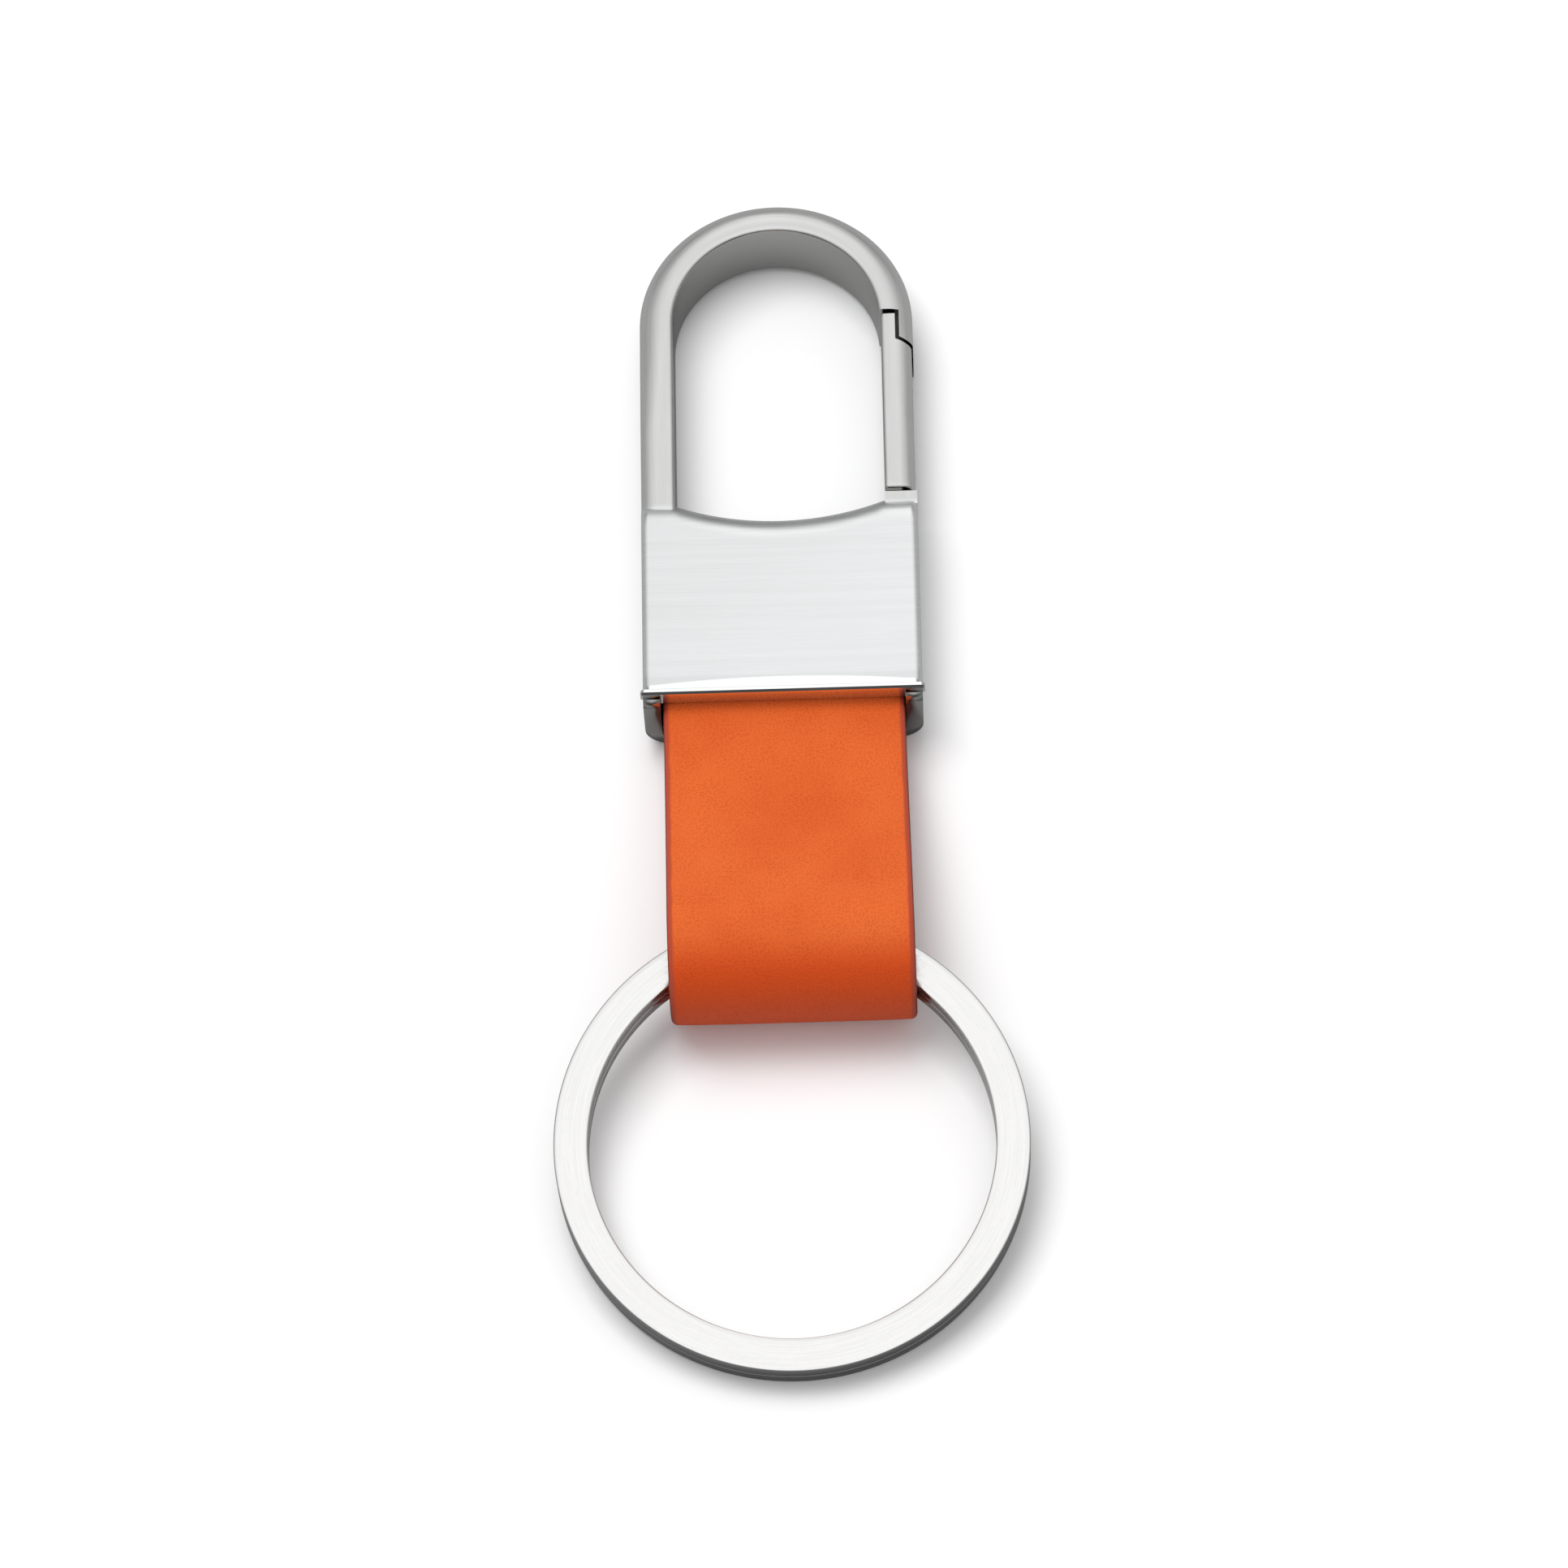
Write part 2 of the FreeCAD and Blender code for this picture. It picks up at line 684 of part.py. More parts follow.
def gate_spring():
    """A torsion spring round the pin, swept along a leg, the coil and the second leg in one run."""
    radius, pitch = size("dims.spring_radius"), size("dims.spring_pitch")
    turns = size("dims.spring_turns")
    coil = Part.makeHelix(pitch, pitch * turns, radius)
    coil.rotate(Vector(0, 0, 0), Vector(0, 0, 1), 180)
    start, end = Vector(-radius, 0, 0), Vector(-radius, 0, pitch * turns)
    rise = pitch / (2 * math.pi * radius)
    heading = Vector(0, -1, rise).normalize()
    upper = Part.makeLine(start - heading * size("dims.spring_upper_leg"), start)
    lower = Part.makeLine(end, end + heading * size("dims.spring_lower_leg"))
    path = Part.Wire([upper, *coil.Edges, lower])
    tip = start - heading * size("dims.spring_upper_leg")
    profile = Part.Wire(Part.makeCircle(size("dims.spring_wire / 2"), tip, heading))
    spring = doc.addObject("Part::Feature", "spring")
    spring.Shape = path.makePipeShell([profile], True, True)
    spring.Placement.Base = Vector(size("dims.pin_x"), size("dims.pin_y"), size("dims.spring_base"))
    keep(spring, "gate_spring")


# ---- strap ---------------------------------------------------------------------------------------


def strap_tails(name, inside, thickness):
    """The clamped stretch of one leather layer: a front leaf and a back leaf, each with two post holes."""
    leaves = []
    tail_end = f"dims.flex_y + {HALF_STACK} + dims.flex_clearance"
    half = "dims.strap_width / 2"
    for leaf, low in (
        ("front", f"dims.strap_middle + {inside}"),
        ("back", f"dims.strap_middle - ({inside}) - {thickness}"),
    ):
        blank_name = f"{name}_{leaf}"
        high = f"{low} + {thickness}"
        blank = box(blank_name, f"-{half}", tail_end, low, half, "dims.strap_top", high)
        below, above = f"{low} - {OVERCUT}", f"{high} + {OVERCUT}"
        holes = [
            cylinder(f"{blank_name}_{side}_hole", "dims.post_hole", x, "dims.screw_y", below, above)
            for side, x in SCREW_SIDES.items()
        ]
        leaves.append(cut(f"{blank_name}_leaf", blank, fuse(f"{blank_name}_holes", holes)))
    keep(group(f"{name}_leaves", leaves), name)


def belt(flex_radius, fold_radius):
    """The closed line drawn tight round the flex line and the fold, as corners for outline()."""
    run, rise = "(dims.flex_y - dims.fold_y)", "(dims.fold_z - dims.strap_middle)"
    lean = f"atan({rise} / {run})"
    spread = f"asin((({fold_radius}) - ({flex_radius})) / sqrt({run}^2 + {rise}^2))"
    front, back = f"({lean} + {spread})", f"({spread} - {lean})"

    def spot(y, z, radius, across, up):
        return f"{y} + ({radius}) * {across}", f"{z} + ({radius}) * {up}"

    flex, fold = ("dims.flex_y", "dims.strap_middle"), ("dims.fold_y", "dims.fold_z")
    return [
        spot(*flex, flex_radius, f"sin({front})", f"cos({front})"),
        (*spot(*fold, fold_radius, f"sin({front})", f"cos({front})"), fold_radius, 1),
        (*spot(*fold, fold_radius, "-1", "0"), fold_radius, 1),
        spot(*fold, fold_radius, f"sin({back})", f"-cos({back})"),
        (*spot(*flex, flex_radius, f"sin({back})", f"-cos({back})"), flex_radius, 1),
    ]


def strap_loop(name, outer, thickness):
    """The free stretch of one leather layer, from the flex line round the fold and back.

    outer is how far the layer's outside lies in from the strap's outside.
    """
    loop = body(name + "_body")
    drawing = sketch(loop, name + "_outline", "YZ_Plane")
    for depth in (outer, f"{outer} + {thickness}"):
        flex_radius = f"{HALF_STACK} - ({depth})"
        outline(drawing, belt(flex_radius, f"dims.fold_z - ({depth})"))
    pad(loop, drawing, "dims.strap_width", symmetric=True)
    keep(loop, name)


# ---- split ring ----------------------------------------------------------------------------------


def coil(name, height):
    """One flat turn, open by the jog's angle."""
    walls = []
    for wall, radius in (("outside", "dims.ring_outer"), ("inside", "dims.ring_inner")):
        round_wall = cylinder(f"{name}_{wall}", radius, "0", "0", height, f"{height} + dims.wire_tall")
        walls.append(bind(round_wall, Angle="360 - dims.jog_angle"))
    return cut(name, *walls)


def jog(step):
    """The short stretch where the wire climbs from the lower turn to the upper one."""
    sections = []
    jog_angle = size("dims.jog_angle")
    for i in range(JOG_SECTIONS):
        share = i / (JOG_SECTIONS - 1)
        climb = share * share * (3 - 2 * share)
        section = rectangle(
            doc.addObject("Sketcher::SketchObject", f"jog_section_{i}"),
            "dims.ring_inner",
            f"{step} * {climb}",
            "dims.ring_outer",
            f"{step} * {climb} + dims.wire_tall",
        )
        turn = Rotation(Vector(0, 0, 1), 360 - jog_angle * (1 - share))
        upright = Rotation(Vector(1, 0, 0), 90)
        section.Placement = Placement(Vector(0, 0, 0), turn.multiply(upright))
        sections.append(section)
    climb_piece = doc.addObject("Part::Loft", "jog")
    climb_piece.Sections = sections
    climb_piece.Solid = True
    climb_piece.Ruled = False
    return climb_piece


def split_ring():
    """A flat double coil; the jog and both ends of the wire sit inside the strap's fold."""
    step = "(dims.wire_tall + dims.coil_gap)"
    wire = fuse("ring_wire", [coil("lower_turn", "0"), jog(step), coil("upper_turn", step)])
    wire.Refine = False
    doc.recompute()
    # the jog is turned to the ring's top, then the ring is tilted so that its far edge meets the table
    ring = group("ring", [wire])
    half_tall = "(dims.wire_tall + dims.coil_gap / 2)"
    to_top = Rotation(Vector(0, 0, 1), 90 + size("dims.jog_angle / 2"))
    wire.Placement = Placement(Vector(0, 0, -size(half_tall)), to_top)
    ring.Placement = Placement(
        Vector(
            0,
            size("dims.fold_y - dims.ring_reach * cos(dims.ring_tilt)"),
            size("dims.fold_z - dims.ring_reach * sin(dims.ring_tilt)"),
        ),
        Rotation(Vector(1, 0, 0), size("dims.ring_tilt")),
    )
    keep(ring, "split_ring")


# ---- build, check, write -------------------------------------------------------------------------

waste = back_waste()
hook_body(waste)
back_plate(waste)
clamp_screws()
gate()
gate_pin()
gate_spring()
strap_tails("strap_face_tails", "dims.leaf_gap + dims.lining_leather", "dims.face_leather")
strap_tails("strap_lining_tails", "dims.leaf_gap", "dims.lining_leather")
strap_loop("strap_face_loop", "0", "dims.face_leather")
strap_loop("strap_lining_loop", "dims.face_leather", "dims.lining_leather")
split_ring()
doc.recompute()

for thing in doc.Objects:
    if "Invalid" in thing.State or "Error" in thing.State:
        raise RuntimeError(f"{thing.Name} failed: {thing.State}")
os.makedirs("parts", exist_ok=True)
for thing in sub_parts:
    if thing.Shape.isNull() or not thing.Shape.isValid():
        raise RuntimeError(f"{thing.Label} has no valid shape")
for thing in sub_parts:
    thing.Shape.exportStep(f"parts/{thing.Label}.step")
    extent = thing.Shape.BoundBox
    print(
        f"{thing.Label:20s} solids {len(thing.Shape.Solids)}  volume {thing.Shape.Volume:8.2f}  "
        f"x {extent.XMin:7.2f} {extent.XMax:7.2f}  y {extent.YMin:7.2f} {extent.YMax:7.2f}  "
        f"z {extent.ZMin:6.2f} {extent.ZMax:6.2f}"
    )
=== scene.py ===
import json
import math

import bmesh
import bpy
from mathutils import Matrix, Vector

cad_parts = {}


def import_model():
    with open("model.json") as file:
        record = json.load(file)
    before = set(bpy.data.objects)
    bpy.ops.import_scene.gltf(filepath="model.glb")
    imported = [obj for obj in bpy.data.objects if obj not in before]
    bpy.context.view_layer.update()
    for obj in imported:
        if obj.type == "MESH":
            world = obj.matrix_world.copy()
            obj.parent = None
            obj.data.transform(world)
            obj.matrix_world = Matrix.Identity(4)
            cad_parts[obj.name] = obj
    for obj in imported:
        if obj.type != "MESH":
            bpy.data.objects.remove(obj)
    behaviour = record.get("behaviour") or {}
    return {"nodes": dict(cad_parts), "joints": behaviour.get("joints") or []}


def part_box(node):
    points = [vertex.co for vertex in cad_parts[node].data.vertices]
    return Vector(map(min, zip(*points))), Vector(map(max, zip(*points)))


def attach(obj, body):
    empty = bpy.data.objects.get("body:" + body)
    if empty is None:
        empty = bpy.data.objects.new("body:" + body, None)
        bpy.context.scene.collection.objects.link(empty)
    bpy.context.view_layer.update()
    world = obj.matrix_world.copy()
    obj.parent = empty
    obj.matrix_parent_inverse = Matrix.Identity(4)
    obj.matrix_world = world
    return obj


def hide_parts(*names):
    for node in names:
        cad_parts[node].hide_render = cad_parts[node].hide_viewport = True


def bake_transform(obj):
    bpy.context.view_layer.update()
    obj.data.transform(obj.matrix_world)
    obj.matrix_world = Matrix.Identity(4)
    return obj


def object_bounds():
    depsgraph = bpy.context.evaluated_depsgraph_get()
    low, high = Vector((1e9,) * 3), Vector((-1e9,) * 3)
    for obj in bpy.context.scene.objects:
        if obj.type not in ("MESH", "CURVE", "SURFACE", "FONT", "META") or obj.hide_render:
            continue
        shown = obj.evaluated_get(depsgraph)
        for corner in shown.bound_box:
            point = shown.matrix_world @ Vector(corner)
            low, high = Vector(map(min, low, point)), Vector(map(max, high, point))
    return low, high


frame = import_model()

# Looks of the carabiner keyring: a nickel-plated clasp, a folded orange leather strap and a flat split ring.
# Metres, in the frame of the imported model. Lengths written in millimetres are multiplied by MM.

MM = 0.001
cad_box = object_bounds()

JOINTS = {joint["name"]: joint for joint in frame["joints"]}
FOLD = Vector(JOINTS["ring_swing"]["pos_m"])
FLEX = Vector(JOINTS["strap_flex"]["pos_m"])


# ---- mesh helpers ------------------------------------------------------------------------------------


def mesh_piece(name, points, faces, material=None, uvs=None):
    """A smooth-shaded mesh object; uvs holds one (u, v) for each point."""
    mesh = bpy.data.meshes.new(name)
    mesh.from_pydata([tuple(p) for p in points], [], faces)
    if material is not None:
        mesh.materials.append(material)
    if uvs is not None:
        layer = mesh.uv_layers.new(name="UVMap")
        for loop in mesh.loops:
            layer.data[loop.index].uv = uvs[loop.vertex_index]
    mesh.polygons.foreach_set("use_smooth", [True] * len(mesh.polygons))
    mesh.validate()
    mesh.update()
    piece = bpy.data.objects.new(name, mesh)
    bpy.context.scene.collection.objects.link(piece)
    return piece


def tube_faces(rows, columns):
    """Faces of a closed section repeated along a path, with both ends capped."""
    faces = []
    for r in range(rows - 1):
        for c in range(columns):
            d = (c + 1) % columns
            faces.append((r * columns + c, r * columns + d, (r + 1) * columns + d, (r + 1) * columns + c))
    first, last = range(columns), (rows - 1) * columns
    faces += [tuple(reversed(first)), tuple(last + c for c in first)]
    return faces


def rounded_rectangle(width, height, radii, steps, across):
    """Section points anticlockwise from the lower left corner, with `across` parts along each long side.

    radii is (low_left, low_right, high_right, high_left), and each corner is turned in `steps` parts.
    """
    half_w, half_h = width / 2, height / 2
    corners = ((-1, -1, 180), (1, -1, 270), (1, 1, 0), (-1, 1, 90))
    points = []
    for (sx, sy, first), radius, following in zip(corners, radii, radii[1:] + radii[:1]):
        centre = (sx * (half_w - radius), sy * (half_h - radius))
        for i in range(steps + 1):
            angle = math.radians(first + 90 * i / steps)
            points.append((centre[0] + radius * math.cos(angle), centre[1] + radius * math.sin(angle)))
        if sx == sy:
            start, end_x = points[-1], -sx * (half_w - following)
            for i in range(1, across):
                points.append((start[0] + (end_x - start[0]) * i / across, start[1]))
    return points


# ---- node helpers ------------------------------------------------------------------------------------


class Nodes:
    """Short names for building a node tree."""

    def __init__(self, tree):
        self.tree = tree

    def add(self, kind, settings=None, **inputs):
        """A node with its settings and inputs; an input's value is a socket to link or a plain value."""
        made = self.tree.nodes.new(kind)
        for key, value in (settings or {}).items():
            setattr(made, key, value)
        for key, value in inputs.items():
            self.put(made.inputs[key.replace("_", " ")], value)
        return made

    def put(self, socket, value):
        if isinstance(value, bpy.types.NodeSocket):
            self.tree.links.new(value, socket)
        else:
            socket.default_value = value

    def fill(self, made, *values):
        """Puts the values in the node's first inputs, and gives its first output."""
        for socket, value in zip(made.inputs, values):
            self.put(socket, value)
        return made.outputs[0]

    def math(self, operation, *values):
        return self.fill(self.add("ShaderNodeMath", {"operation": operation}), *values)

    def ramp(self, value, low, high, to_low=0.0, to_high=1.0):
        """Smoothly maps low..high to to_low..to_high."""
        made = self.add("ShaderNodeMapRange", {"interpolation_type": "SMOOTHSTEP"})
        return self.fill(made, value, low, high, to_low, to_high)

    def mix(self, share, a, b):
        made = self.add("ShaderNodeMix", {"data_type": "RGBA"})
        self.put(made.inputs[0], share)
        self.put(made.inputs[6], a)
        self.put(made.inputs[7], b)
        return made.outputs[2]

    def vector(self, x, y):
        return self.fill(self.add("ShaderNodeCombineXYZ"), x, y)

    def split(self, vector):
        return self.add("ShaderNodeSeparateXYZ", Vector=vector).outputs

    def noise(self, vector, scale, detail=2.0, roughness=0.5):
        made = self.add("ShaderNodeTexNoise", Vector=vector, Scale=scale, Detail=detail, Roughness=roughness)
        return made.outputs[0]

    def bump(self, height, distance, strength, **normal):
        """Raised by the height; a Normal to start from may follow."""
        made = self.add("ShaderNodeBump", Height=height, Distance=distance, Strength=strength, **normal)
        return made.outputs[0]

    def is_glossy_ray(self):
        return self.add("ShaderNodeLightPath").outputs["Is Glossy Ray"]


class Look(Nodes):
    """The node tree of one new material."""

    def __init__(self, name):
        self.material = bpy.data.materials.new(name)
        self.material.use_nodes = True
        super().__init__(self.material.node_tree)

    def coordinates(self, kind):
        return self.add("ShaderNodeTexCoord").outputs[kind]

    def along_and_across(self):
        """The UV map's two directions."""
        along, across, _ = self.split(self.add("ShaderNodeUVMap").outputs[0])
        return along, across

    def finish(self, **inputs):
        """Fills the shader's inputs and gives the material."""
        shader = self.tree.nodes["Principled BSDF"]
        for key, value in inputs.items():
            self.put(shader.inputs[key.replace("_", " ")], value)
        return self.material


def rgb(red, green, blue):
    return (red, green, blue, 1.0)


def grey(tone):
    return rgb(tone, tone, tone)


def tinted(colour, shares):
    """The colour with each channel multiplied by its share."""
    return rgb(*(c * share for c, share in zip(colour, shares)))


# ---- metals ------------------------------------------------------------------------------------------


def clasp_metal():
    """Nickel plate: brushed across the block's face and along the hook's front, polished everywhere else."""
    n = Look("nickel_clasp")
    place = n.coordinates("Object")
    x, y, _ = n.split(place)
    normal_z = n.split(n.coordinates("Normal"))[2]
    on_block = n.ramp(y, BLOCK_TOP - 0.2 * MM, BLOCK_TOP - 0.6 * MM)

    # The lines run along X on the block, and follow the band on the hook.
    past_arch = n.math("MAXIMUM", n.math("SUBTRACT", y, ARCH_Y), 0.0)
    x_squared, past_squared = n.math("MULTIPLY", x, x), n.math("MULTIPLY", past_arch, past_arch)
    across_band = n.math("SQRT", n.math("ADD", x_squared, past_squared))
    block_lines = n.vector(n.math("MULTIPLY", x, 0.018), y)
    hook_lines = n.vector(n.math("MULTIPLY", y, 0.03), across_band)
    lines_place = n.mix(on_block, hook_lines, block_lines)
    fine = n.noise(lines_place, 9000.0, 3.0, 0.65)
    broad = n.noise(lines_place, 1500.0, 2.0)
    polished_rim = n.ramp(y, BLOCK_BOTTOM + 1.6 * MM, BLOCK_BOTTOM + 1.1 * MM)
    facing_up = n.ramp(normal_z, 0.45, 0.8)
    brushed = n.math("MULTIPLY", facing_up, n.math("SUBTRACT", 1.0, polished_rim))

    # The block's plate is a little paler towards its lower right corner; this gradient is painted light,
    # mixed with the brushed lines.
    streak = n.math("ADD", n.math("MULTIPLY", fine, 0.55), n.math("MULTIPLY", broad, 0.45))
    shade = n.math("MULTIPLY", n.ramp(streak, 0.36, 0.62), brushed)
    painted_light_toward_corner = n.ramp(n.math("SUBTRACT", x, y), -12.0 * MM, 12.0 * MM)
    brushing_and_painted_light = n.math("ADD", n.math("MULTIPLY", shade, 0.5), n.math("MULTIPLY", painted_light_toward_corner, 0.5))
    block_tone = n.mix(brushing_and_painted_light, rgb(0.885, 0.895, 0.89), rgb(0.99, 1.0, 1.0))
    hook_tone = n.mix(shade, rgb(0.765, 0.765, 0.75), rgb(0.825, 0.825, 0.815))
    colour = n.mix(on_block, hook_tone, block_tone)

    polish = n.ramp(n.noise(place, 180.0, 3.0), 0.3, 0.7, 0.07, 0.13)
    brushing = n.math("MULTIPLY", brushed, n.ramp(fine, 0.3, 0.7, 0.2, 0.32))
    gloss = n.math("ADD", polish, brushing)
    lines = n.bump(n.math("MULTIPLY", fine, brushed), 0.005 * MM, 0.45)
    dimples = n.bump(n.noise(place, 900.0), 0.004 * MM, 0.35, Normal=lines)
    return n.finish(Base_Color=colour, Metallic=1.0, Roughness=gloss, Normal=dimples)


def polished_metal(name, tint, rough, grain):
    """Plated steel with a faint grain and small changes in gloss."""
    n = Look(name)
    place = n.coordinates("Object")
    cloud = n.noise(place, 260.0, 3.0)
    specks = n.noise(place, grain, 2.0, 0.6)
    colour = n.mix(n.ramp(cloud, 0.3, 0.7), tinted(tint, (0.94, 0.94, 0.94)), rgb(*tint))
    gloss = n.ramp(specks, 0.3, 0.7, rough * 0.75, rough * 1.35)
    surface = n.bump(specks, 0.003 * MM, 0.5)
    return n.finish(Base_Color=colour, Metallic=1.0, Roughness=gloss, Normal=surface)


def ring_metal():
    """Nickel-plated wire, with fine lines along it from the grinding of its faces, and painted shade
    darkening its outer wall.
    """
    n = Look("nickel_ring")
    along, across = n.along_and_across()
    lines = n.noise(n.vector(n.math("MULTIPLY", along, 0.03), across), 7000.0, 3.0, 0.6)
    grain = n.noise(n.vector(along, across), 2500.0, 3.0, 0.6)
    shade = n.math("ADD", n.math("MULTIPLY", lines, 0.6), n.math("MULTIPLY", grain, 0.4))
    face = n.mix(n.ramp(shade, 0.35, 0.65), rgb(0.86, 0.855, 0.84), rgb(0.93, 0.925, 0.91))
    # The dark grey on the outer wall is painted shade.
    painted_outer_wall_shade = n.ramp(across, WIRE_WIDE / 2 - 0.04 * MM, WIRE_WIDE / 2 - 0.01 * MM)
    colour = n.mix(painted_outer_wall_shade, face, rgb(0.32, 0.32, 0.33))
    gloss = n.ramp(grain, 0.3, 0.7, 0.13, 0.24)
    surface = n.bump(shade, 0.004 * MM, 0.6)
    return n.finish(Base_Color=colour, Metallic=1.0, Roughness=gloss, Normal=surface)


# ---- leather -----------------------------------------------------------------------------------------


EDGE_TONE = (0.40, 0.058, 0.025)


def leather(name, base, deep, pore_count):
    """Calf leather: small pores pressed into a soft grain, and a darker painted edge along both sides.

    base and deep are the tones of its paler and darker patches, and pore_count is the pores in a metre.
    The UV map holds the distance along the strap and across it, in metres.
    """
    n = Look(name)
    along, across = n.along_and_across()
    place = n.vector(along, across)
    warp = n.noise(place, 700.0)
    warped_along = n.math("ADD", along, n.math("MULTIPLY", warp, 0.3 * MM))
    warped_across = n.math("SUBTRACT", across, n.math("MULTIPLY", warp, 0.2 * MM))
    cells = n.add(
        "ShaderNodeTexVoronoi",
        {"feature": "F1", "voronoi_dimensions": "2D"},
        Vector=n.vector(warped_along, warped_across),
        Scale=pore_count,
        Randomness=0.85,
    )
    depth = n.ramp(warp, 0.3, 0.7, 0.5, 1.0)
    pores = n.math("MULTIPLY", n.ramp(cells.outputs["Distance"], 0.42, 0.02), depth)
    wrinkle = n.noise(place, 2400.0, 4.0, 0.6)

    # The leather is deeper in colour in its pores, and round the strap's lowest y, where it folds, it is
    # darkened and reddened with painted shade.
    skin = n.mix(n.ramp(n.noise(place, 130.0, 3.0), 0.3, 0.7), rgb(*deep), rgb(*base))
    _, _, _, fold_middle = min(strap_line())
    from_fold = n.math("ABSOLUTE", n.math("SUBTRACT", along, fold_middle))
    skin = n.mix(n.ramp(from_fold, 6.6 * MM, 3.6 * MM), skin, tinted(deep, (0.97, 0.66, 0.35)))
    skin = n.mix(n.math("MULTIPLY", pores, 0.5), skin, tinted(deep, (0.72, 0.45, 0.3)))

    # The paint reaches a little way over the skin, in a wavering line, and is darkest at the rim.
    side = n.math("ABSOLUTE", across)
    waver = n.math("MULTIPLY", n.math("SUBTRACT", warp, 0.5), 0.15 * MM)
    painted = n.ramp(n.math("ADD", side, waver), HALF_STRAP - 0.46 * MM, HALF_STRAP - 0.26 * MM)
    rim = n.ramp(side, HALF_STRAP - 0.12 * MM, HALF_STRAP - 0.02 * MM)
    paint = n.mix(rim, rgb(*EDGE_TONE), tinted(EDGE_TONE, (0.45, 0.45, 0.45)))
    colour = n.mix(painted, skin, paint)

    height = n.math("ADD", n.math("MULTIPLY", pores, -0.7), n.math("MULTIPLY", wrinkle, 0.45))
    relief = n.math("ADD", 0.25, n.math("MULTIPLY", n.math("SUBTRACT", 1.0, painted), 0.75))
    surface = n.bump(n.math("MULTIPLY", height, relief), 0.03 * MM, 0.8)
    gloss = n.ramp(wrinkle, 0.3, 0.7, 0.42, 0.56)
    return n.finish(Base_Color=colour, Roughness=gloss, Normal=surface, Specular_IOR_Level=0.21)


# ---- strap -------------------------------------------------------------------------------------------


TAILS, LINING_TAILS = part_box("strap_face_tails"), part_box("strap_lining_tails")
HALF_STRAP = TAILS[1].x
FACE_THICK = TAILS[1].z - LINING_TAILS[1].z
LINING_THICK = 0.65 * MM
BEND_RADIUS, BEND_REACH = 9.0 * MM, 3.1 * MM
FOLD_SHIFT = 0.3 * MM
EDGE_FALL = 0.05 * MM
STRAP_STEP = 0.22 * MM


def strap_line():
    """Points (y, z), headings and lengths along the strap's outside, from the back tail round the fold."""
    low_z, high_z, tail_end = TAILS[0].z, TAILS[1].z, TAILS[1].y
    stack = (high_z - low_z) / 2
    fold_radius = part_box("strap_face_loop")[1].z - FOLD.z
    run, rise = FLEX.y - FOLD.y, FOLD.z - FLEX.z
    lean = math.atan2(rise, run)
    spread = math.asin((fold_radius - stack) / math.hypot(run, rise))
    front, back = lean + spread, spread - lean
    foot = (FOLD.y + fold_radius * math.sin(back), FOLD.z - fold_radius * math.cos(back))
    crest = (FOLD.y + fold_radius * math.sin(front), FOLD.z + fold_radius * math.cos(front))
    back_corner = (foot[0] + (low_z - foot[1]) / math.tan(back), low_z)
    front_corner = (crest[0] + (crest[1] - high_z) / math.tan(front), high_z)
    back_trim = BEND_RADIUS * math.tan(back / 2)
    front_trim = BEND_RADIUS * math.tan(front / 2)
    moves = [
        (tail_end - back_corner[0] - back_trim, 0.0),
        (BEND_RADIUS * back, back),
        (math.dist(back_corner, foot) - back_trim, 0.0),
        (fold_radius * (math.pi + back + front), -(math.pi + back + front)),
        (math.dist(front_corner, crest) - front_trim, 0.0),
        (BEND_RADIUS * front, front),
        (tail_end - front_corner[0] - front_trim, 0.0),
    ]
    y, z, heading, length = tail_end, low_z, math.pi, 0.0
    rows = [(y, z, heading, length)]
    for distance, turn in moves:
        steps = max(2, round(distance / STRAP_STEP))
        for _ in range(steps):
            heading += turn / steps / 2
            y += math.cos(heading) * distance / steps
            z += math.sin(heading) * distance / steps
            heading += turn / steps / 2
            length += distance / steps
            rows.append((y, z, heading, length))
    return rows


def strap_layer(name, depth, thickness, outside_radius, inside_radius, material):
    """One leather layer swept along the strap's line; depth is how far its outside lies in from the line."""
    width = 2 * HALF_STRAP
    radii = (inside_radius, inside_radius, outside_radius, outside_radius)
    section = rounded_rectangle(width, thickness, radii, 5, 24)
    rows = strap_line()
    total = rows[-1][3]
    points, uvs = [], []
    for y, z, heading, length in rows:
        inward = (math.sin(heading), -math.cos(heading))
        near_fold = math.sin(math.pi * length / total) ** 2
        for across, up in section:
            crown = EDGE_FALL * (2 * across / width) ** 4
            inset = depth + thickness / 2 - up + crown
            points.append((across + FOLD_SHIFT * near_fold, y + inward[0] * inset, z + inward[1] * inset))
            uvs.append((length, across))
    return mesh_piece(name, points, tube_faces(len(rows), len(section)), material, uvs)


# ---- split ring --------------------------------------------------------------------------------------


# The jog, where the wire climbs from one turn to the next, and the step between two sections are in degrees.
RING_TILT = math.radians(6.95)
RING_JOG, RING_STEP = 23.0, 1.25
WIRE_TALL, WIRE_WIDE, WIRE_BEVEL = 1.2 * MM, 2.15 * MM, 0.11 * MM
COIL_GAP, RING_SPARE = 0.04 * MM, 0.02 * MM


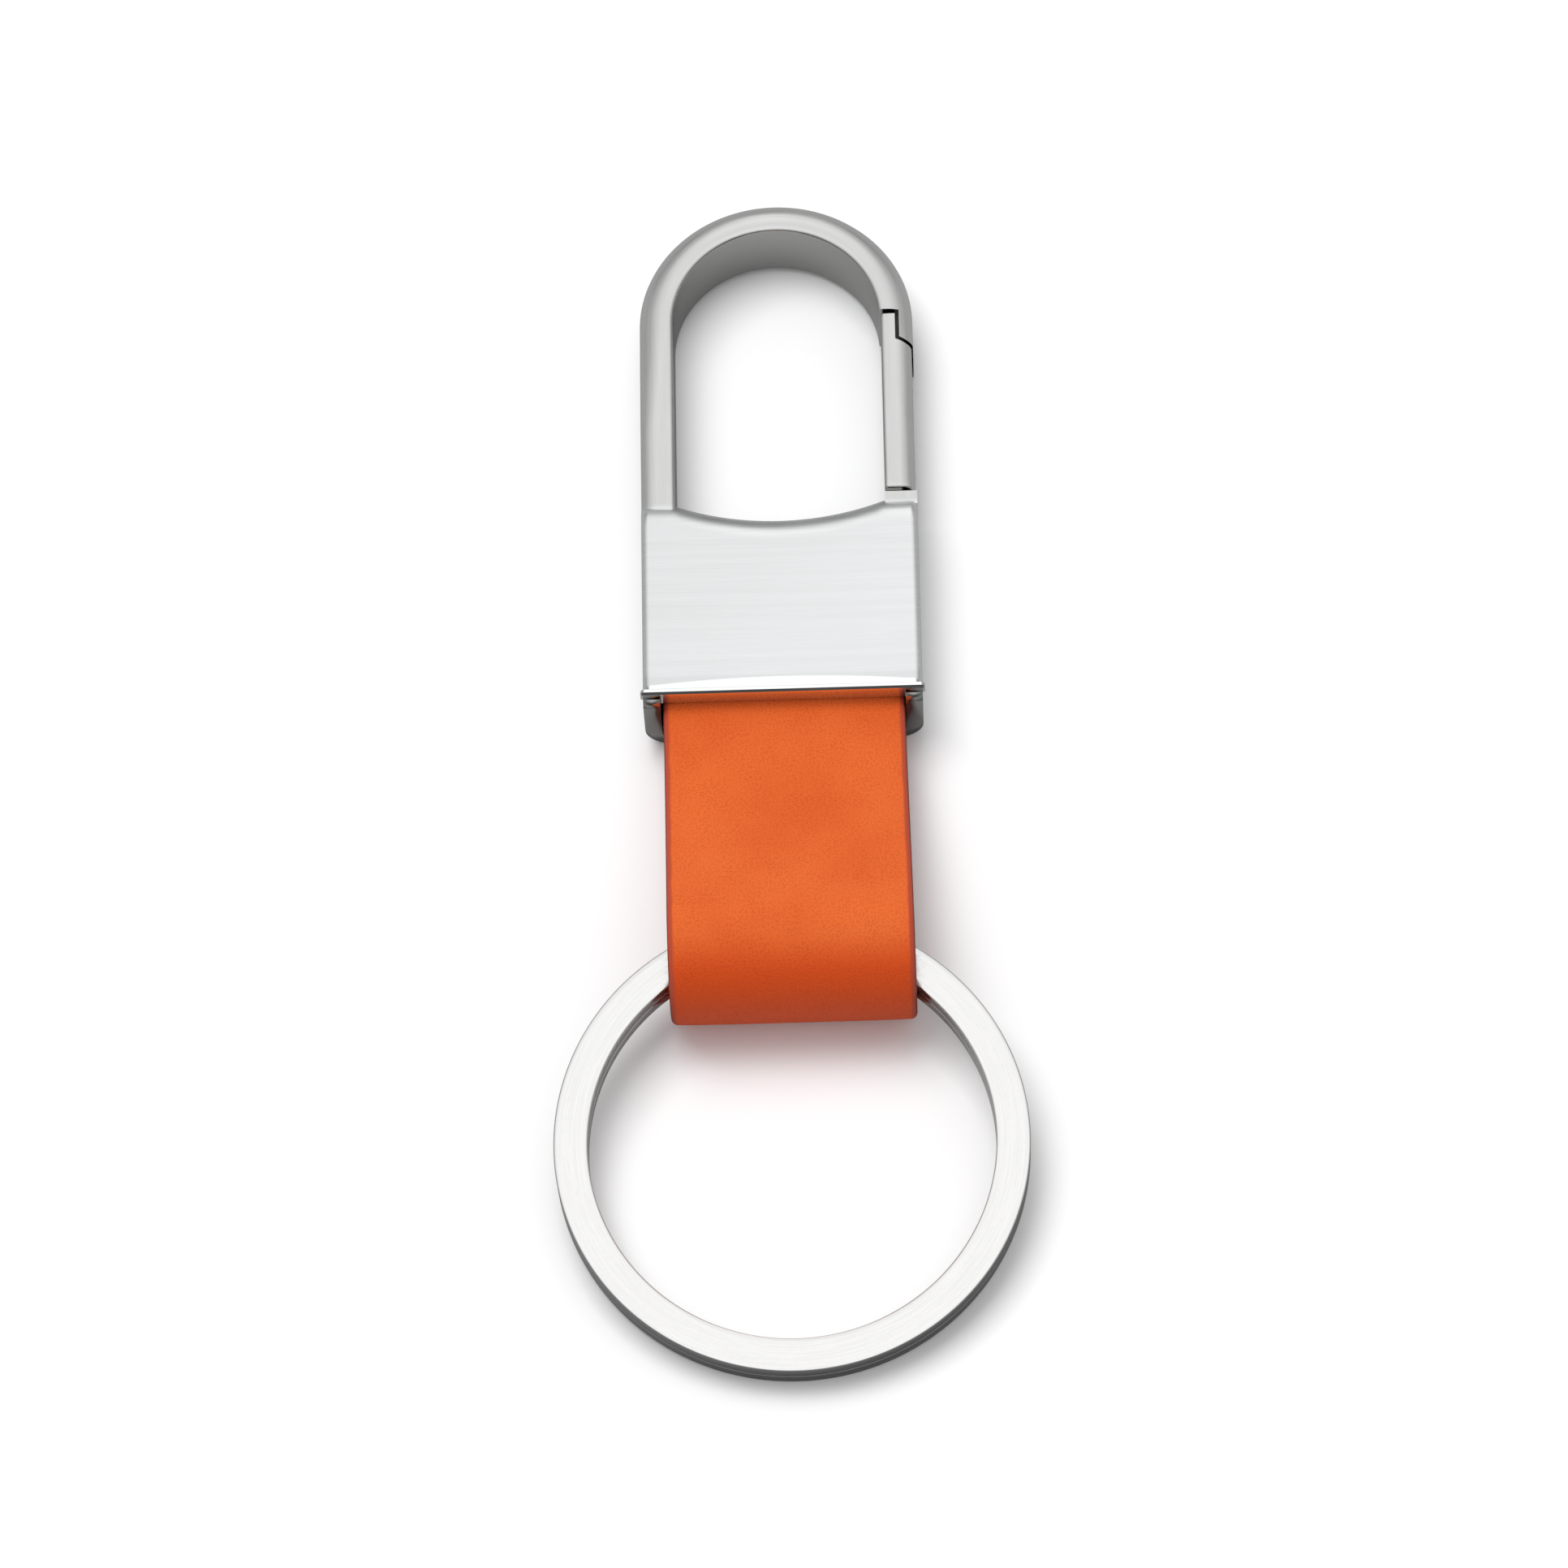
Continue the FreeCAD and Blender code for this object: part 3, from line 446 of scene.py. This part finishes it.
def ring_wire(material):
    """The flat wire wound in two turns, with the jog between them inside the strap's fold."""
    low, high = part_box("split_ring")
    centre = (low + high) / 2
    middle_radius = (high.x - low.x) / 2 - WIRE_WIDE / 2 - RING_SPARE
    section = rounded_rectangle(WIRE_WIDE, WIRE_TALL, (WIRE_BEVEL,) * 4, 3, 6)
    climb_start = 360.0 - RING_JOG
    last = 360.0 + climb_start
    steps = round(last / RING_STEP)
    pitch = WIRE_TALL + COIL_GAP
    points, uvs = [], []
    for i in range(steps + 1):
        turn = last * i / steps
        share = min(max((turn - climb_start) / RING_JOG, 0.0), 1.0)
        height = pitch * (share * share * (3 - 2 * share) - 0.5)
        angle = math.radians(turn + 90 + RING_JOG / 2)
        for out, up in section:
            radius = middle_radius + out
            points.append((radius * math.cos(angle), radius * math.sin(angle), height + up))
            uvs.append((middle_radius * math.radians(turn), out))
    tilt = Matrix.Translation(centre) @ Matrix.Rotation(RING_TILT, 4, "X")
    placed = [tilt @ Vector(p) for p in points]
    return mesh_piece("split_ring_wire", placed, tube_faces(steps + 1, len(section)), material, uvs)


# ---- the casting, its gate and the gate's spring -----------------------------------------------------


HOOK_LOW, HOOK_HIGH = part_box("hook_body")
GATE_LOW, GATE_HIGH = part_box("gate")
PIN = Vector(JOINTS["gate_pivot"]["pos_m"])
SPARE = MM  # how far a cutting tool reaches past what it cuts
ABOVE_ALL = 7.0 * MM

LIP_PROUD = 0.15 * MM
HALF = HOOK_HIGH.x - LIP_PROUD
BAND = 2.2 * MM
INNER = HALF - BAND
ARCH_Y = HOOK_HIGH.y - HALF
INNER_ARCH_Y = ARCH_Y - 0.2 * MM
LEG_ROOT_Y = 5.0 * MM
HOOK_BACK, HOOK_FRONT = 0.4 * MM, 5.5 * MM

BLOCK_BOTTOM = HOOK_LOW.y
BLOCK_TOP = -BLOCK_BOTTOM
BLOCK_EDGE = 0.5 * MM
HOLLOW_RADIUS = 19.5 * MM
FACE_HEIGHT, FACE_DISH = 6.0 * MM, 0.15 * MM
CREST_ROLL, CREST_FALL = 2.1 * MM, 1.7 * MM
FLARE_SLOPE = 0.35 / 1.3
BACK_CORNER = 2.0 * MM
WALL_SET_BACK = 0.12 * MM

LIP_HEIGHT, LIP_STEP = HOOK_HIGH.z, 0.03 * MM
LIP_FOOT, LIP_TALL, LIP_BEVEL = 5.8 * MM, 0.45 * MM, 0.18 * MM
LIP_END_ROUND, LIP_END_SHRINK = 0.35 * MM, 0.16 * MM
LIP_DROP, LIP_DROP_X, LIP_LEVEL_X = 0.45 * MM, 8.5 * MM, 8.0 * MM

NOSE_TIP_Y, NOSE_SLANT, NOSE_LIP = 18.7 * MM, 0.38 * MM, 0.88 * MM
NOTCH_TOP = 21.15 * MM
TAB_ROOT, TAB_END, TAB_FRONT = 6.6 * MM, 7.55 * MM, 5.35 * MM
POCKET_END, POCKET_BACK, POCKET_FRONT = 1.1 * MM, 1.3 * MM, 4.6 * MM
SEAT_HALF, SEAT_FRONT = 6.95 * MM, 1.4 * MM
SLOT_LOW = (6.3 * MM, 5.45 * MM, 1.65 * MM)
SLOT_HIGH = (8.5 * MM, 9.0 * MM, 4.35 * MM)

GATE_WIDE, GATE_END_ROUND = 2.0 * MM, 0.16 * MM
GATE_BOTTOM = 7.85 * MM
TONGUE_WIDE, SHOULDER_Y, SHOULDER_SLOPE = 0.95 * MM, 18.95 * MM, 0.45 / 1.05
CHEEKS = ((1.75 * MM, 2.3 * MM), (3.7 * MM, 4.25 * MM))
NECK_HALF, NECK_ROOT = 0.55 * MM, 0.5 * MM
KNUCKLE_RADIUS, BORE_RADIUS = 0.95 * MM, 0.6 * MM

SPRING_WIRE_RADIUS, SPRING_PITCH, SPRING_TURNS = 0.14 * MM, 0.3 * MM, 3


def quarter(centre, reach, rise, first, steps):
    """Points of a quarter of an ellipse, from the angle first on, anticlockwise."""
    points = []
    for i in range(steps + 1):
        angle = math.radians(first + 90 * i / steps)
        points.append((centre[0] + reach * math.cos(angle), centre[1] + rise * math.sin(angle)))
    return points


def band_section(width, back, front, crown, drop, steps=12):
    """The hook's band cut across: (distance from the inner wall, height), anticlockwise from the back.

    The front is flat by the inner wall and falls away towards the outer wall in a quarter ellipse.
    """
    soft, fine = 0.3 * MM, 0.26 * MM
    points = quarter((width - soft, back + soft), soft, soft, 270, 4)
    points += quarter((width - crown, front - drop), crown, drop, 0, steps)
    points += quarter((fine, front - fine), fine, fine, 90, 5)
    points += quarter((soft, back + soft), soft, soft, 180, 4)
    return points


def arch_stations():
    """(inner point, outer point, crown width) along the band, from the left leg's root round to the nose."""
    stations = []
    leg_steps, arch_steps = 16, 72
    for i in range(leg_steps):
        share = i / leg_steps
        y = LEG_ROOT_Y + (ARCH_Y - LEG_ROOT_Y) * share
        crown = (1.0 + 0.7 * max(0.0, share - 0.5) / 0.5) * MM
        stations.append(((-INNER, y), (-HALF, y), crown))
    for i in range(arch_steps + 1):
        angle = math.pi * (1 - i / arch_steps)
        c, up = math.cos(angle), math.sin(angle)
        inner = (INNER * c, INNER_ARCH_Y + INNER * up)
        stations.append((inner, (HALF * c, ARCH_Y + HALF * up), (1.7 + 0.2 * up) * MM))
    for share in (0.25, 0.5, 0.75, 1.0):
        y = ARCH_Y + (NOSE_TIP_Y - 0.4 * MM - ARCH_Y) * share
        stations.append(((INNER, y), (HALF, y), (1.7 - 0.5 * share) * MM))
    return stations


def arch_shell():
    """The band from the left leg's root round to the nose."""
    stations, points = arch_stations(), []
    for inner, outer, crown in stations:
        width = math.dist(inner, outer)
        for across, height in band_section(width, HOOK_BACK, HOOK_FRONT, crown, 0.72 * crown):
            x, y = (a + (b - a) * across / width for a, b in zip(inner, outer))
            points.append((x, y, height))
    return points, tube_faces(len(stations), len(points) // len(stations))


def face_height(x):
    """Height of the block's dished face above the back."""
    return FACE_HEIGHT - FACE_DISH * (1 - (x / HALF) ** 2)


def block_crest(x):
    """Where the block's top edge lies: a hollow between the legs, level above them."""
    sagitta = HOLLOW_RADIUS - math.sqrt(HOLLOW_RADIUS**2 - INNER**2)
    if abs(x) >= INNER:
        return BLOCK_TOP
    return BLOCK_TOP - sagitta + HOLLOW_RADIUS - math.sqrt(HOLLOW_RADIUS**2 - x * x)


def block_profile(x):
    """The block cut along Y at x: (y, z), from the back up the bottom wall, over the face and down again."""
    past = max(0.0, abs(x) - (HALF - BLOCK_EDGE))
    drop = BLOCK_EDGE - math.sqrt(max(BLOCK_EDGE**2 - past**2, 0.0))
    face, crest = face_height(x), block_crest(x)
    soft = 0.07 * MM
    flare_top = LIP_HEIGHT - LIP_STEP - drop
    meet = BLOCK_BOTTOM + (flare_top + drop - face) / FLARE_SLOPE
    wall = BLOCK_BOTTOM + WALL_SET_BACK
    points = [(wall, 0.0), (wall, 2.0 * MM), (wall, 4.0 * MM), (wall, flare_top - 3 * soft)]
    for run in (WALL_SET_BACK + soft, WALL_SET_BACK + 2 * soft, meet - BLOCK_BOTTOM - soft):
        points.append((BLOCK_BOTTOM + run, flare_top - run * FLARE_SLOPE))
    points.append((meet + soft, face - drop))
    roll_start = crest - CREST_ROLL
    points += [(meet + (roll_start - meet) * i / 8, face - drop) for i in range(1, 8)]
    roll = quarter((roll_start, face - CREST_FALL), CREST_ROLL, CREST_FALL, 0, 14)
    points += [(y, z - drop) for y, z in reversed(roll)]
    return points + [(crest, 2.5 * MM), (crest, 0.0)]


def block_shell():
    """The block, cut across at places that crowd together in its two rounded side edges."""
    edge_steps, middle_steps = 8, 40
    flat = HALF - BLOCK_EDGE
    turn = [flat + BLOCK_EDGE * math.sin(math.pi / 2 * i / edge_steps) for i in range(1, edge_steps + 1)]
    middle = {flat * (2 * i / middle_steps - 1) for i in range(middle_steps + 1)} | {-INNER, INNER}
    places = [-x for x in reversed(turn)] + sorted(middle) + turn
    points = [(x, y, z) for x in places for y, z in block_profile(x)]
    return points, tube_faces(len(places), len(block_profile(0.0)))


def lip_shell():
    """The thin bead along the block's bottom edge; it stands proud at both ends, which are rounded."""
    soft, end = 0.08 * MM, HALF + LIP_PROUD
    rounded = [end - LIP_END_ROUND * (1 - math.cos(math.pi / 2 * i / 7)) for i in range(8)]
    places = [-x for x in rounded] + [-LIP_LEVEL_X, 0.0, LIP_LEVEL_X] + rounded[::-1]
    points = []
    for x in places:
        past = max(0.0, abs(x) - (end - LIP_END_ROUND)) / LIP_END_ROUND
        shrink = LIP_END_SHRINK * (1 - math.sqrt(max(1 - past * past, 0.0)))
        low = LIP_FOOT - (LIP_DROP if abs(x) > LIP_DROP_X else 0.0) + shrink
        y0, y1 = BLOCK_BOTTOM, BLOCK_BOTTOM + LIP_TALL - shrink
        top = LIP_HEIGHT - shrink
        low_top = top - (y1 - y0) * FLARE_SLOPE
        rim = [(y0, low), (y0, top - LIP_BEVEL), (y0 + 0.7 * LIP_BEVEL, top - 0.2 * LIP_BEVEL)]
        rim += [(y1 - soft, low_top + soft * FLARE_SLOPE), (y1, low_top - soft), (y1, low)]
        points += [(x, y, z) for y, z in rim]
    return points, tube_faces(len(places), 6)


def box_shell(low, high):
    """An upright box between two corners."""
    section = [(low[0], low[1]), (high[0], low[1]), (high[0], high[1]), (low[0], high[1])]
    points = [(x, y, z) for z in (low[2], high[2]) for x, y in section]
    return points, tube_faces(2, 4)


def prism_shell(outline, low, high):
    """An outline in X and Y, upright from low to high."""
    points = [(x, y, z) for z in (low, high) for x, y in outline]
    return points, tube_faces(2, len(outline))


def pin_shell(radius, low, high):
    """A cylinder on the gate's pin."""
    angles = [2 * math.pi * i / 32 for i in range(32)]
    outline = [(PIN.x + radius * math.cos(a), PIN.y + radius * math.sin(a)) for a in angles]
    return prism_shell(outline, low, high)


def back_edge_waste(side):
    """What lies outside the rounded back edge, along the block's whole side."""
    far, centre = HALF + SPARE, HALF - BACK_CORNER
    outline = [(centre, -SPARE), (far, -SPARE), (far, BACK_CORNER)]
    outline += quarter((centre, BACK_CORNER), BACK_CORNER, BACK_CORNER, 270, 12)[::-1]
    points = [(side * x, y, z) for y in (BLOCK_BOTTOM - SPARE, BLOCK_TOP + 0.7 * MM) for x, z in outline]
    return points, tube_faces(2, len(outline))


def solid(name, shell):
    """An object made from a closed shell, with its faces turned outwards."""
    piece = mesh_piece(name, *shell)
    net = bmesh.new()
    net.from_mesh(piece.data)
    bmesh.ops.recalc_face_normals(net, faces=net.faces)
    net.to_mesh(piece.data)
    net.free()
    return piece


def combine(piece, shell, operation):
    """Joins a closed shell to the piece or cuts it out, and leaves one closed mesh."""
    tool = solid("tool", shell)
    step = piece.modifiers.new("step", "BOOLEAN")
    step.operation = operation
    step.solver = "EXACT"
    step.object = tool
    graph = bpy.context.evaluated_depsgraph_get()
    graph.update()
    mesh = bpy.data.meshes.new_from_object(piece.evaluated_get(graph))
    piece.modifiers.clear()
    piece.data = mesh
    bpy.data.objects.remove(tool)
    return piece


def even_normals(piece):
    """Normals that follow the larger faces."""
    even = piece.modifiers.new("even_normals", "WEIGHTED_NORMAL")
    even.mode = "FACE_AREA"
    even.keep_sharp = True


def dress(piece, material):
    """The material, creases at sharp edges, and even normals."""
    mesh = piece.data
    mesh.materials.clear()
    mesh.materials.append(material)
    mesh.polygons.foreach_set("material_index", [0] * len(mesh.polygons))
    mesh.polygons.foreach_set("use_smooth", [True] * len(mesh.polygons))
    mesh.set_sharp_from_angle(angle=math.radians(32))
    even_normals(piece)
    return piece


def nose_notch():
    """What is cut off the band's end, so that the nose laps over the gate's tongue with a slanted tip."""
    inner, far, lip_x = INNER - SPARE, HALF + SPARE, HALF - NOSE_LIP
    below = NOSE_TIP_Y - 1.5 * MM
    outline = [
        (inner, below),
        (far, below),
        (far, NOSE_TIP_Y - NOSE_SLANT / NOSE_LIP * SPARE),
        (lip_x, NOSE_TIP_Y + NOSE_SLANT),
        (lip_x, NOTCH_TOP),
        (inner, NOTCH_TOP),
    ]
    return prism_shell(outline, -SPARE, ABOVE_ALL)


def hook_casting(material):
    """The block, its lip and the arch in one skin; the lip goes on before the arch."""
    hook = solid("hook_casting", block_shell())
    tab = box_shell((GATE_HIGH.x - GATE_WIDE, TAB_ROOT, 0.0), (HALF, TAB_END, TAB_FRONT))
    hook = combine(hook, tab, "UNION")
    for side in (-1, 1):
        hook = combine(hook, back_edge_waste(side), "DIFFERENCE")
    for shell in (lip_shell(), arch_shell()):
        hook = combine(hook, shell, "UNION")
    pocket_half = HALF_STRAP + 0.1 * MM
    seat_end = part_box("back_plate")[1].y + 0.05 * MM
    low_y = BLOCK_BOTTOM - SPARE
    strap_pocket = box_shell((-pocket_half, low_y, POCKET_BACK), (pocket_half, POCKET_END, POCKET_FRONT))
    plate_seat = box_shell((-SEAT_HALF, low_y, -SPARE), (SEAT_HALF, seat_end, SEAT_FRONT))
    for shell in (nose_notch(), strap_pocket, plate_seat, box_shell(SLOT_LOW, SLOT_HIGH)):
        hook = combine(hook, shell, "DIFFERENCE")
    return dress(hook, material)


def gate_stations():
    """(y, inset) along the bar: straight, with both ends rounded."""
    turns = [math.pi / 2 * i / 5 for i in range(6)]
    ends = [(GATE_END_ROUND * (1 - math.sin(a)), GATE_END_ROUND * (1 - math.cos(a))) for a in turns]
    straight = GATE_HIGH.y - GATE_END_ROUND - GATE_BOTTOM
    stations = [(GATE_BOTTOM + back, inset) for back, inset in reversed(ends)]
    stations += [(GATE_BOTTOM + straight * i / 48, 0.0) for i in range(2, 49)]
    return stations + [(GATE_HIGH.y - back, inset) for back, inset in ends[1:]]


def gate_bar(material):
    """The sprung bar: the hook's own section, a tongue that laps under the nose, and a forked foot."""
    outer = GATE_HIGH.x
    inner = outer - GATE_WIDE
    back, front = GATE_LOW.z, GATE_HIGH.z
    middle = (back + front) / 2
    section = band_section(GATE_WIDE, back, front, 1.0 * MM, 0.85 * MM, 10)
    stations, points = gate_stations(), []
    for y, inset in stations:
        across_scale, up_scale = 1 - 2 * inset / GATE_WIDE, 1 - 2 * inset / (front - back)
        for across, height in section:
            x = inner + GATE_WIDE / 2 + (across - GATE_WIDE / 2) * across_scale
            points.append((x, y, middle + (height - middle) * up_scale))
    bar = solid("gate_bar", (points, tube_faces(len(stations), len(section))))
    tongue, past, above = inner + TONGUE_WIDE, outer + SPARE, GATE_HIGH.y + SPARE
    shoulder = [
        (tongue, SHOULDER_Y),
        (past, SHOULDER_Y - SHOULDER_SLOPE * (past - tongue)),
        (past, above),
        (tongue, above),
    ]
    bar = combine(bar, prism_shell(shoulder, -SPARE, ABOVE_ALL), "DIFFERENCE")
    for low, high in CHEEKS:
        neck = box_shell((PIN.x - NECK_HALF, PIN.y, low), (PIN.x + NECK_HALF, GATE_BOTTOM + NECK_ROOT, high))
        bar = combine(bar, neck, "UNION")
        bar = combine(bar, pin_shell(KNUCKLE_RADIUS, low, high), "UNION")
    bar = combine(bar, pin_shell(BORE_RADIUS, 0.0, 6.0 * MM), "DIFFERENCE")
    return dress(bar, material)


def torsion_spring(material):
    """The wire wound round the pin, from the leg on the gate, up the coil, to the leg on the casting."""
    low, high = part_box("gate_spring")
    wire, steps, sides = SPRING_WIRE_RADIUS, 28, 12
    radius = PIN.x - low.x - wire
    rise = SPRING_PITCH / (2 * math.pi * radius)
    gate_leg, block_leg = high.y - PIN.y, PIN.y - low.y - wire
    base = low.z + wire + gate_leg * rise
    last = SPRING_TURNS * steps
    stations = [(0, -gate_leg)] + [(i, 0.0) for i in range(last + 1)] + [(last, block_leg)]
    points = []
    for i, run in stations:
        angle = math.pi + 2 * math.pi * i / steps
        out = Vector((math.cos(angle), math.sin(angle), 0.0))
        heading = Vector((-out.y, out.x, rise)).normalized()
        centre = Vector((PIN.x, PIN.y, base + SPRING_PITCH * i / steps)) + radius * out + run * heading
        for side in range(sides):
            around = 2 * math.pi * side / sides
            points.append(centre + wire * (math.cos(around) * out + math.sin(around) * heading.cross(out)))
    spring = solid("torsion_spring", (points, tube_faces(len(stations), sides)))
    spring.data.materials.append(material)
    return spring


# ---- the CAD's nodes ---------------------------------------------------------------------------------


def finish_node(name, material):
    """Gives a CAD node that stays its material, one skin, and even normals."""
    node = frame["nodes"][name]
    node.data.materials.clear()
    node.data.materials.append(material)
    node.data.polygons.foreach_set("use_smooth", [True] * len(node.data.polygons))
    weld = node.modifiers.new("weld", "WELD")
    weld.merge_threshold = 0.002 * MM
    even_normals(node)


def stand_for(piece, slot, *nodes):
    """Shows the piece instead of the CAD nodes; slot, their material slot, is not used."""
    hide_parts(*nodes)
    return piece


# ---- stage, light, camera ----------------------------------------------------------------------------


# The brightness of the room's walls from the viewer's side to the far side, and of its roof from low to high.
WALL_TONES = ((0.0, 0.05), (0.42, 0.3), (0.55, 0.34), (0.78, 0.34), (1.0, 0.2))
ROOF_TONES = ((0.75, 0.66), (0.89, 0.75), (0.97, 0.95))
ROOF_SHARE = ((0.35, 0.0), (0.8, 1.0))
WINDOW_SHARE = ((0.93, 0.0), (0.985, 1.0))
WINDOW_HEIGHT, WINDOW_TONE = 36.0, 1.0  # degrees
FILL_LIGHT, ROOM_LIGHT = 0.5, 1.1
FLOOR_MIRRORED = 0.31
FLOOR_HALF = 1.5
AZIMUTH, ELEVATION, ROLL = 2.24, 63.35, -3.62  # degrees
DISTANCE, LENS = 511.5 * MM, 182.3
TARGET_SHIFT = Vector((-0.1, -0.4, -2.5)) * MM


def floor():
    """A white floor, which metal mirrors as a grey one."""
    n = Look("floor")
    pale = n.mix(n.noise(n.coordinates("Object"), 12.0, 3.0), grey(0.86), grey(0.88))
    material = n.finish(Base_Color=n.mix(n.is_glossy_ray(), pale, grey(FLOOR_MIRRORED)), Roughness=0.9)
    corners = [(x * FLOOR_HALF, y * FLOOR_HALF, 0) for x, y in ((-1, -1), (1, -1), (1, 1), (-1, 1))]
    plane = mesh_piece("floor", corners, [(0, 1, 2, 3)], material)
    plane.location.z = cad_box[0].z - 0.02 * MM


def key_light():
    """A large soft lamp above the far left; metal doesn't mirror it."""
    data = bpy.data.lights.new("key", "AREA")
    data.shape = "RECTANGLE"
    data.size = data.size_y = 0.55
    data.energy = 5.5
    lamp = bpy.data.objects.new("key", data)
    lamp.location = (-0.22, 0.22, 0.88)
    lamp.visible_glossy = False
    lamp.rotation_mode = "QUATERNION"
    lamp.rotation_quaternion = (Vector((0, -0.01, 0)) - lamp.location).to_track_quat("-Z", "Y")
    bpy.context.scene.collection.objects.link(lamp)


def world():
    """A studio round the object: grey walls, darkest behind the viewer, a white roof and a window beyond.

    Only mirrored rays see the walls' tones, and all others see an even fill light.
    """
    made = bpy.data.worlds.new("studio")
    bpy.context.scene.world = made
    made.use_nodes = True
    n = Nodes(made.node_tree)

    def tones(value, stops):
        ramp = n.add("ShaderNodeValToRGB")
        ramp.color_ramp.interpolation = "EASE"
        while len(ramp.color_ramp.elements) < len(stops):
            ramp.color_ramp.elements.new(0.5)
        for element, (place, tone) in zip(ramp.color_ramp.elements, stops):
            element.position = place
            element.color = rgb(tone, tone, tone * 1.01)
        return n.fill(ramp, value)

    direction = n.add("ShaderNodeTexCoord").outputs["Generated"]
    _, far, up = n.split(direction)
    from_viewer = n.math("MULTIPLY_ADD", far, 0.5, 0.5)
    walls = n.mix(n.is_glossy_ray(), grey(FILL_LIGHT), tones(from_viewer, WALL_TONES))
    room = n.mix(tones(up, ROOF_SHARE), walls, tones(up, ROOF_TONES))
    toward_window = n.add("ShaderNodeVectorMath", {"operation": "DOT_PRODUCT"})
    rise = math.radians(WINDOW_HEIGHT)
    n.fill(toward_window, direction, (0.0, math.cos(rise), math.sin(rise)))
    lit = n.mix(tones(toward_window.outputs["Value"], WINDOW_SHARE), room, grey(WINDOW_TONE))
    n.fill(made.node_tree.nodes["Background"], lit, ROOM_LIGHT)


def camera():
    """A long lens at the photograph's angle, rolled a little."""
    azimuth, elevation, roll = math.radians(AZIMUTH), math.radians(ELEVATION), math.radians(ROLL)
    flat = math.cos(elevation)
    back = Vector((math.sin(azimuth) * flat, -math.cos(azimuth) * flat, math.sin(elevation)))
    level = (-back).cross(Vector((0, 0, 1))).normalized()
    rise = level.cross(-back)
    right = level * math.cos(roll) + rise * math.sin(roll)
    up = rise * math.cos(roll) - level * math.sin(roll)
    data = bpy.data.cameras.new("camera")
    data.sensor_width = 36.0
    data.lens = LENS
    data.clip_start, data.clip_end = 0.01, 20.0
    eye = bpy.data.objects.new("camera", data)
    basis = Matrix((right, up, back)).transposed().to_4x4()
    basis.translation = (cad_box[0] + cad_box[1]) / 2 + TARGET_SHIFT + back * DISTANCE
    eye.matrix_world = basis
    bpy.context.scene.collection.objects.link(eye)
    bpy.context.scene.camera = eye


# ---- build -------------------------------------------------------------------------------------------


camera()
floor()
world()
key_light()
bpy.context.scene.view_settings.view_transform = "Standard"

clasp = clasp_metal()
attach(stand_for(hook_casting(clasp), "plated_casting", "hook_body"), "clasp")
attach(stand_for(gate_bar(clasp), "plated_casting", "gate"), "gate")

finish_node("back_plate", polished_metal("nickel_cover", (0.43, 0.43, 0.42), 0.16, 900.0))
finish_node("clamp_screws", polished_metal("screw_steel", (0.75, 0.75, 0.74), 0.2, 1200.0))
dark_steel = polished_metal("pin_steel", (0.62, 0.62, 0.62), 0.22, 1500.0)
finish_node("gate_pin", dark_steel)

# In the real clasp the spring's low end turns with the gate and its high end stays with the casting; here the
# spring is tied to no body.
spring = stand_for(torsion_spring(dark_steel), "spring_steel", "gate_spring")
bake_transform(spring)

face_leather = leather("orange_leather", (0.655, 0.118, 0.02), (0.60, 0.094, 0.013), 4500.0)
lining_leather = leather("lining_leather", (0.66, 0.125, 0.03), (0.56, 0.09, 0.02), 2400.0)
face = strap_layer("leather_face", 0.0, FACE_THICK, 0.4 * MM, 0.08 * MM, face_leather)
lining = strap_layer("leather_lining", FACE_THICK, LINING_THICK, 0.08 * MM, 0.22 * MM, lining_leather)
for piece, slot, nodes in (
    (face, "face_leather", ("strap_face_tails", "strap_face_loop")),
    (lining, "lining_leather", ("strap_lining_tails", "strap_lining_loop")),
):
    stand_for(piece, slot, *nodes)
    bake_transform(piece)

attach(stand_for(ring_wire(ring_metal()), "ring_steel", "split_ring"), "ring")
